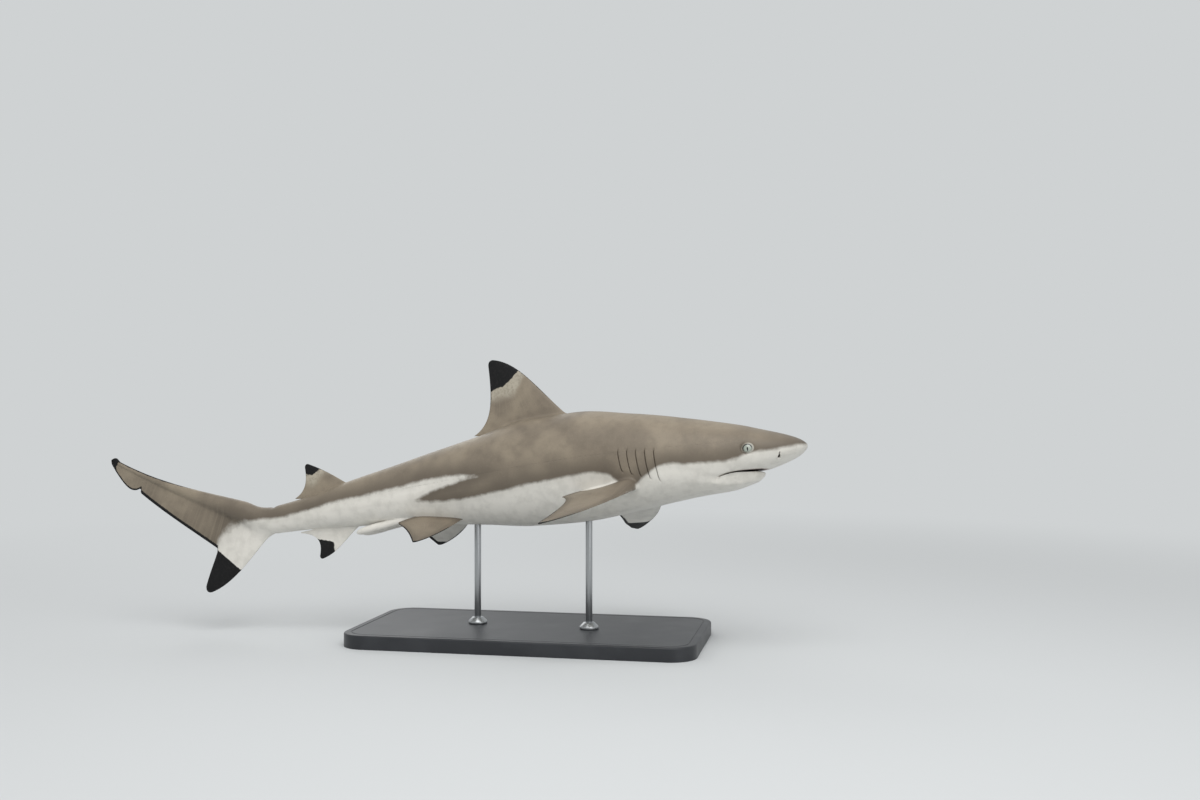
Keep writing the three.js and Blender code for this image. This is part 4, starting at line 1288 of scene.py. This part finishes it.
@dataclass(frozen=True)
class SharkSkin:
    """Painted skin of a cast shark: satin, with the fine rough grain of dermal denticles."""

    back: str = "#7f7567"
    # dark tone of the back's flecks, pores and lateral line, also used as painted shade along the
    # lower flank
    back_dark_and_shade: str = "#5f574d"
    back_light: str = "#948978"
    belly: str = "#dfdcd4"
    belly_shade: str = "#c6c3bb"
    black: str = "#101011"
    black_worn: str = "#1d1c1c"
    band: str = "#b9b2a2"
    mouth: str = "#6b4a44"
    # painted shade: near-black brown for the gap round the eyeball and the depths of the mouth,
    # nostrils and gill slits
    slit: str = "#2f2725"
    lid: str = "#c3c2b8"
    roughness: float = .46
    grain: float = 1.3      # mm; real denticles are a quarter of this, drawn coarse enough to show

    def make(self) -> Material:
        """Builds the material from the skin's own measures."""
        c = Coat("shark_skin_satin_denticles")
        *_, place = c.layer("place")
        back, black, pale, _ = c.layer("marks")
        mouth, hole, _, _ = c.layer("depth")
        line, rho, snout, _ = c.layer("lines")
        fibre, _, webbed, _ = c.layer("ray")
        cloud, patch = c.noise(place, 70, 2), c.noise(place, 17, 3, .55)
        fleck, speck = c.noise(place, 4.5, 3, .6), c.noise(place, 1.6, 2)
        strand = c.streaks(c.times(fibre, 1.4), .35, 3, .6)
        spread, spot = c.math("SUBTRACT", patch, .5), c.math("SUBTRACT", fleck, .5)
        ragged = c.plus(c.times(spread, 7), c.times(spot, 2.4))
        edge = c.plus(back, ragged)
        # back: warm grey, clouded, and darker just above its lower edge, partly the species' own
        # darker border and partly painted shade of the lower flank
        tone = c.mix(c.step(cloud, .35, .65), self.back, self.back_light)
        tone = c.over(tone, self.back_dark_and_shade, patch, .4, .75, .24)
        tone = c.over(tone, self.back_light, fleck, .5, .8, .3)
        tone = c.over(tone, self.back_dark_and_shade, speck, .55, .75, .25)
        tone = c.over(tone, self.back_dark_and_shade, edge, 38, 0, .75)
        tone = c.mix(c.times(c.step(strand, .45, .7), c.times(webbed, .3)), tone, self.back_light)
        # belly: off-white, faintly greyed towards the flank
        white = c.over(self.belly, self.belly_shade, patch, .4, .72, .5)
        white = c.over(white, self.belly_shade, edge, -16, 0, .55)
        skin = c.over(white, tone, edge, -4, 4)
        # fins: light band with flecks, then black
        band = c.over(self.band, self.back_dark_and_shade, fleck, .42, .66, .35)
        skin = c.over(skin, band, c.plus(pale, c.times(ragged, 1.3)), -9, 7, .8)
        ink = c.over(self.black, self.black_worn, fleck, .45, .75)
        inked = c.step(c.plus(black, c.times(spot, 3.0)), -.7, .7)
        skin = c.mix(inked, skin, ink)
        # head: pale lid, pores, the mouth's lining, and painted shade in the eye's opening and deep
        # in the mouth, nostrils and gill slits
        ring = c.times(c.step(rho, 1.44, 1.22), c.step(rho, .96, 1.02))
        ahead = c.step(c.parts(place)[0], 98, 88, .75, .22)
        skin = c.mix(c.times(ring, ahead), skin, self.lid)
        # painted shade in the gap between the lids' edge and the eyeball
        skin = c.over(skin, self.slit, rho, 1.02, .97)
        dots = c.add("TexVoronoi", {"Vector": place, "Scale": 1 / 5.5}).outputs["Distance"]
        pores = c.times(c.step(dots, .12, .06), c.times(snout, .3))
        skin = c.mix(pores, skin, self.back_dark_and_shade)
        skin = c.over(skin, self.mouth, mouth, 2, 12)
        # painted shade, darker the deeper a point lies in the mouth, a nostril or a gill slit
        deep = c.math("MAXIMUM", hole, c.math("SUBTRACT", mouth, 9))
        skin = c.over(skin, self.slit, deep, .9, 3.2)
        # lateral line and grain
        lateral = c.times(c.step(c.math("ABSOLUTE", line), 1.8, .4), c.step(fleck, .42, .6))
        skin = c.mix(c.times(lateral, .10), skin, self.back_dark_and_shade)
        soft = c.bump(c.times(strand, webbed), .0008, .3)
        soft = c.bump(patch, .0014, .25, soft)
        soft = c.bump(c.math("SUBTRACT", 0, c.math("MAXIMUM", pores, lateral)), .0004, .5, soft)
        soft = c.bump(c.noise(place, self.grain, 2, .6), .00025, .45, soft)
        gloss = c.plus(c.plus(self.roughness - .08, c.times(fleck, .16)), c.times(inked, .16))
        return c.finish(soft, Base_Color=skin, Roughness=gloss, Specular_IOR_Level=.3, IOR=1.45)


@dataclass(frozen=True)
class GlassEye:
    """Glass eye: pale grey-green iris, upright slit pupil, wet clear front."""

    iris: str = "#a9b0a4"
    iris_dark: str = "#5d6760"
    pupil: str = "#050606"
    limbus: str = "#23282a"
    white: str = "#b9bbb4"

    def make(self) -> Material:
        """Builds the material from the eye's own measures, in millimetres from its middle."""
        c = Coat("glass_eye_clear_gloss")
        u, v, _, _ = c.layer("look")
        r, turn = c.length(u, v), c.math("ARCTAN2", v, u)
        spoke = c.streaks(c.times(turn, 9), 2.2, 3)
        iris = c.over(self.iris, self.iris_dark, spoke, .35, .7)
        iris = c.over(self.iris, iris, r, 3.2, 5.4, .55)
        wide, tall = c.math("DIVIDE", u, 1.35), c.math("DIVIDE", v, 3.4)
        slit = c.plus(c.times(wide, wide), c.times(tall, tall))
        look = c.over(iris, self.pupil, slit, 1.12, .9)
        look = c.over(look, self.limbus, r, 6.0, 7.2)
        look = c.over(look, self.white, r, 8.4, 9.4)
        return c.finish(Base_Color=look, Roughness=.12, IOR=1.5,
                        Coat_Weight=1.0, Coat_Roughness=.02)


@dataclass(frozen=True)
class BlackBoard:
    """Board painted satin black: faint orange peel from the roller, and soft patches rubbed a
    little grey.
    """

    paint: str = "#24262a"
    rubbed: str = "#3c3e42"

    def make(self) -> Material:
        """Builds the material."""
        c = Coat("painted_board_satin_black")
        place = c.add("VectorMath", {0: c.add("TexCoord").outputs["Object"], 1: (1000, 1000, 1000)},
                      operation="MULTIPLY").outputs[0]
        peel, haze = c.noise(place, 2.2, 2), c.noise(place, 60, 3)
        tone = c.over(self.paint, self.rubbed, haze, .4, .7, .35)
        gloss = c.plus(.34, c.times(haze, .14))
        return c.finish(c.bump(peel, .0002, .25), Base_Color=tone, Roughness=gloss, IOR=1.5)


@dataclass(frozen=True)
class BrushedSteel:
    """Stainless steel brushed round its length: fine bright hoops in a grey metal."""

    light: str = "#b4b6b7"
    dark: str = "#a2a4a6"

    def make(self) -> Material:
        """Builds the material."""
        c = Coat("stainless_steel_brushed")
        at = c.parts(c.add("TexCoord").outputs["Object"])[2]
        lines = c.streaks(c.times(at, 1000), 3.0, 2)
        tone = c.over(self.dark, self.light, lines, .2, .8)
        gloss = c.plus(.26, c.times(lines, .1))
        return c.finish(c.bump(lines, .00004, .2), Base_Color=tone, Metallic=1.0, Roughness=gloss)


# ---- claspers, eyes and stand -------------------------------------------------------------------
@dataclass
class Claspers:
    """The pair of grooved rods behind a male's pelvic fins."""

    start: tuple = (52.2, 1.25, -2.7)
    end: tuple = (61.35, 1.45, -4.12)
    groove: float = 2.0     # place of the groove round the rod, in radians
    sides: int = 20
    rings: int = 40

    def build(self) -> Piece:
        """Lofts both rods in the straight animal's place, in metres."""
        points, faces = [], []
        for side in (1, -1):
            first = len(points)
            for i in range(self.rings + 1):
                t = i / self.rings
                shrink = 1 - max(0, (t - .82) / .18) ** 2
                r = lerp(.62, .5, t) * math.sqrt(max(shrink, 0))
                r *= 1 + .10 * float(bump(t - .72, .12))
                mid = [lerp(a, b, t) for a, b in zip(self.start, self.end)]
                deep = .30 * float(ease(.25, .45, t) * ease(1.0, .93, t))
                for q in np.arange(self.sides) * 2 * math.pi / self.sides:
                    away = math.atan2(math.sin(q - self.groove), math.cos(q - self.groove))
                    wide = max(r * (1 - deep * float(bump(away, .35))), .004)
                    y, z = mid[1] + wide * math.cos(q), mid[2] + wide * math.sin(q)
                    points.append((mid[0], side * y, z))
            for i in range(self.rings):
                for k in range(self.sides):
                    a, b = first + i * self.sides + k, first + i * self.sides + (k + 1) % self.sides
                    faces.append((a, b, b + self.sides, a + self.sides)[::side])
            last = first + self.rings * self.sides
            faces.append(tuple(range(first, first + self.sides))[::-side])
            faces.append(tuple(range(last, last + self.sides))[::side])
        mesh = bpy.data.meshes.new("claspers")
        mesh.from_pydata([tuple(c * UNIT for c in p) for p in points], [], faces)
        # the rods are painted like the anal fin, which is all white but for its tip
        for name, row in {**UNSAID, "depth": (0, 0, 0), "span": (0, 0, Part.ANAL)}.items():
            put(mesh, name, np.broadcast_to(row, (len(points), 3)))
        piece = link("claspers", mesh)
        face_outward(piece)
        return piece

    def join(self, skin: Piece) -> None:
        """Unites the rods with the skin, so that no wall is left between them."""
        rods = self.build()
        only(skin)
        union = skin.modifiers.new("claspers", "BOOLEAN")
        union.operation, union.solver, union.object = "UNION", "MANIFOLD", rods
        bpy.ops.object.modifier_apply(modifier=union.name)
        bpy.data.objects.remove(rods)


@dataclass
class Shark:
    """The animal: one skin, two eyes."""

    swim: Swim = field(default_factory=Swim)
    builder: SkinBuilder = field(default_factory=SkinBuilder)
    finish: SharkSkin = field(default_factory=SharkSkin)
    glass: GlassEye = field(default_factory=GlassEye)

    def flex_far_fin(self, p: Array, span: Array) -> Array:
        """Spreads the tip of the left pectoral fin, which the animal holds a little wider."""
        left = (span[:, 2] == Part.PECTORAL) & (p[:, 1] < 0)
        away, chord = -p[:, 1], span[:, 0]
        out = p.copy()
        last = np.where(left, ease(17.8, 20.8, away), 0)
        out[:, 0] += np.where(left, .95 * ease(8, 15, away) * chord, 0) - .7 * last * chord
        out[:, 1] += (.9 * chord ** 2 - .15) * last
        out[:, 2] -= .16 * last * (1 - chord ** 2)
        return out

    def skin(self) -> Piece:
        """Builds, marks and poses the skin."""
        piece = self.builder.build()
        Claspers().join(piece)
        mesh = piece.data
        p = get_points(mesh) / UNIT
        Markings().paint(piece, p, self.builder.features)
        p = self.flex_far_fin(p, get(mesh, "span"))
        set_points(mesh, self.swim.place(p))
        for name in ("law", "span", "margin"):
            mesh.attributes.remove(mesh.attributes[name])
        dress(piece, self.finish.make())
        flesh = [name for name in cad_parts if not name.startswith(("stand_", "eye_"))]
        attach(piece, "root")
        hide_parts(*flesh)
        LOG.info("skin: %d vertices, %d triangles", len(mesh.vertices),
                 sum(len(face.vertices) - 2 for face in mesh.polygons))
        return piece

    def eye(self, side: int, name: str, material: Material) -> Piece:
        """Turns one glass eye: a ball whose front stands slightly proud, like a cornea."""
        f = self.builder.features
        r = f.eye_size
        only()
        bpy.ops.mesh.primitive_uv_sphere_add(segments=72, ring_count=48, radius=r)
        piece = bpy.context.object
        shape(piece, "FACE", lambda q: q[2] > r * .70,
              lambda: bpy.ops.mesh.inset(thickness=.03, depth=-.012),
              lambda: bpy.ops.transform.translate(value=(0, 0, .028)))
        p = get_points(piece.data)
        put(piece.data, "look", p * MM)
        out, ahead = unit(np.array(f.gaze)), np.array([-1.0, 0, 0])
        fore = unit(ahead - out * (ahead @ out))
        up = np.cross(out, fore)
        up = up if up[2] > 0 else -up
        q = np.array(f.eye_at) + p[:, :1] * fore + p[:, 1:2] * up + p[:, 2:] * out
        q[:, 1] *= side
        set_points(piece.data, self.swim.place(q))
        piece.name = piece.data.name = name
        face_outward(piece)
        dress(piece, material)
        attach(piece, "root")
        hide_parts("eye_right" if side > 0 else "eye_left")
        LOG.info("%s: %d faces", name, len(piece.data.polygons))
        return piece

    def build(self) -> None:
        """Makes the animal."""
        self.skin()
        glass = self.glass.make()
        self.eye(1, "glass_eye_right", glass)
        self.eye(-1, "glass_eye_left", glass)


@dataclass
class Stand:
    """Painted board with two steel rods in turned collars."""

    length: float = .620
    width: float = .300
    thick: float = .024
    corner: float = .046    # radius of the board's corners
    edge: float = .003      # radius of its upper edge
    rod: float = .006       # radius of a rod
    collar: float = .017    # radius of a collar
    collar_high: float = .012
    into: float = .0085     # how far a rod goes on into the belly
    sunk: float = .0003     # how far a collar sits in the board
    smooth: float = math.radians(32)    # edges below this turn are shaded smooth

    def board(self) -> Piece:
        """Cuts the board: round corners, eased edges and a shallow routed line round the top."""
        only()
        bpy.ops.mesh.primitive_cube_add(size=1, location=(0, 0, self.thick / 2))
        piece = bpy.context.object
        piece.scale = (self.length, self.width, self.thick)
        settle(piece, "display_board")
        x, y = self.length / 2 - .001, self.width / 2 - .001
        shape(piece, "EDGE", lambda q: abs(q[0]) > x and abs(q[1]) > y,
              lambda: bpy.ops.mesh.bevel(offset=self.corner, segments=14, affect="EDGES"))
        shape(piece, "FACE", lambda q: q[2] > self.thick - HAIR,
              lambda: bpy.ops.mesh.bevel(offset=self.edge, segments=4, affect="EDGES"))
        shape(piece, "FACE", lambda q: q[2] > self.thick - HAIR,
              lambda: bpy.ops.mesh.inset(thickness=.009, depth=0),
              lambda: bpy.ops.mesh.inset(thickness=.0007, depth=-.0009),
              lambda: bpy.ops.mesh.inset(thickness=.0012, depth=0),
              lambda: bpy.ops.mesh.inset(thickness=.0007, depth=.0009))
        return piece

    def bar(self, name: str, middle: Array, bottom: float, top: float, radius: float,
            sides: int) -> Piece:
        """A plain upright cylinder to turn a rod or a collar from."""
        only()
        bpy.ops.mesh.primitive_cylinder_add(
            vertices=sides, radius=radius, depth=top - bottom,
            location=(middle[0], middle[1], bottom + (top - bottom) / 2))
        piece = bpy.context.object
        settle(piece, name)
        return piece

    def turn_rod(self, middle: Array, bottom: float, top: float, name: str) -> Piece:
        """Turns one rod, with small rounded ends."""
        piece = self.bar(name, middle, bottom, top, self.rod, 48)
        shape(piece, "FACE", lambda q: abs(q[2] - bottom) < HAIR or abs(q[2] - top) < HAIR,
              lambda: bpy.ops.mesh.bevel(offset=.0006, segments=2, affect="EDGES"))
        return piece

    def turn_collar(self, middle: Array, bottom: float, name: str) -> Piece:
        """Turns one collar: a low foot that slopes up to a flat ring round the rod."""
        top = bottom + self.collar_high
        piece = self.bar(name, middle, bottom, top, self.collar, 64)
        shape(piece, "FACE", lambda q: abs(q[2] - top) < HAIR,
              lambda: bpy.ops.mesh.inset(thickness=.0075, depth=0))
        outer = self.collar - .0005
        shape(piece, "VERT",
              lambda q: abs(q[2] - top) < HAIR and math.dist(q[:2], middle[:2]) > outer,
              lambda: bpy.ops.transform.translate(value=(0, 0, -.0075)))
        bevel = piece.modifiers.new("turned", "BEVEL")
        bevel.width, bevel.segments, bevel.limit_method = .0012, 3, "ANGLE"
        only(piece)
        bpy.ops.object.modifier_apply(modifier=bevel.name)
        return piece

    def build(self) -> None:
        """Makes the stand on the CAD's places."""
        paint, steel = BlackBoard().make(), BrushedSteel().make()
        pieces = [(self.board(), "stand_base", "stand_board", paint)]
        for end in ("front", "rear"):
            low, high = np.array(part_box("stand_rod_" + end))
            rod = self.turn_rod((low + high) / 2, low[2], high[2] + self.into, "steel_rod_" + end)
            pieces.append((rod, "stand_rod_" + end, "stand_metal", steel))
            low, high = np.array(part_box("stand_collar_" + end))
            collar = self.turn_collar((low + high) / 2, low[2] - self.sunk, "steel_collar_" + end)
            pieces.append((collar, "stand_collar_" + end, "stand_metal", steel))
        for piece, replaced, slot, material in pieces:
            dress(piece, material)
            only(piece)
            bpy.ops.object.shade_smooth_by_angle(angle=self.smooth)
            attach(piece, "root")
            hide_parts(replaced)
            LOG.info("%s: %d faces", piece.name, len(piece.data.polygons))


# ---- studio -------------------------------------------------------------------------------------
@dataclass
class Studio:
    """Pale floor that runs into a pale distance, soft lamps and the camera."""

    floor: str = "#cfd2d3"
    ambient: float = .62
    aim: tuple = (-0.15, 0, 0.3)            # where the lamps point
    # name, place, size of the side and watts
    lamps: tuple = (("key", (0.5, -1.3, 2.3), 2.0, 34), ("fill", (2.0, -1.8, 1.0), 1.8, 7),
                    ("rim", (-1.4, 1.8, 1.7), 1.6, 12))

    def camera(self) -> None:
        """Level camera on the animal's right side, a little ahead of the beam."""
        data = bpy.data.cameras.new("viewpoint")
        data.sensor_width, data.lens = 36.0, 37.374
        cam = bpy.data.objects.new("viewpoint", data)
        cam.location = (0.5603, -2.1614, 0.4282)
        cam.rotation_euler = (math.radians(90), 0, math.radians(11.40))
        bpy.context.scene.collection.objects.link(cam)
        bpy.context.scene.camera = cam

    def lamp(self, name: str, at: tuple, size: float, watts: float) -> None:
        """A square soft lamp that faces the animal."""
        data = bpy.data.lights.new(name, "AREA")
        data.shape, data.size, data.energy = "SQUARE", size, watts
        lamp = bpy.data.objects.new(name, data)
        lamp.location = at
        lamp.rotation_euler = (Vector(self.aim) - Vector(at)).to_track_quat("-Z", "Y").to_euler()
        bpy.context.scene.collection.objects.link(lamp)

    def seen(self, tree: NodeTree) -> Socket:
        """1 for what the camera sees, straight or in a gloss or glass."""
        path = node(tree, "LightPath").outputs
        out = path["Is Camera Ray"]
        for kind in ("Is Glossy Ray", "Is Transmission Ray"):
            out = node(tree, "Math", {0: out, 1: path[kind]}, operation="MAXIMUM").outputs[0]
        return out

    def world(self) -> None:
        """Even daylight, seen as the floor's own pale grey."""
        world = bpy.data.worlds.new("studio")
        bpy.context.scene.world = world
        world.use_nodes = True
        tree = world.node_tree
        tree.nodes.clear()
        light = node(tree, "Background", {0: (1, 1, 1, 1), 1: self.ambient})
        far = node(tree, "Background", {0: colour(self.floor), 1: 1.0})
        both = node(tree, "MixShader", {0: self.seen(tree), 1: light.outputs[0], 2: far.outputs[0]})
        tree.links.new(both.outputs[0], node(tree, "OutputWorld").inputs[0])

    def ground(self) -> None:
        """Matte pale floor whose far part fades into the distance."""
        only()
        bpy.ops.mesh.primitive_plane_add(size=80)
        floor = bpy.context.object
        floor.name = "floor"
        c = Coat("matte_pale_floor")
        at = c.parts(c.add("TexCoord").outputs["Object"])
        matte = c.add("BsdfDiffuse", {0: colour(self.floor)}).outputs[0]
        glow = c.add("Emission", {0: colour(self.floor), 1: 1.0}).outputs[0]
        amount = c.times(c.step(c.length(at[0], at[1]), .9, 2.8), self.seen(c.tree))
        floor.data.materials.append(c.close(c.add("MixShader", {0: amount, 1: matte, 2: glow})))

    def build(self) -> None:
        """Makes the whole studio."""
        bpy.context.scene.view_settings.view_transform = "Standard"
        self.world()
        self.ground()
        for lamp in self.lamps:
            self.lamp(*lamp)
        self.camera()


def main() -> None:
    """Builds the studio, the animal and its stand."""
    logging.basicConfig(level=logging.INFO, format="%(message)s")
    only()
    Studio().build()
    Shark().build()
    Stand().build()


if __name__ == "__main__":
    main()
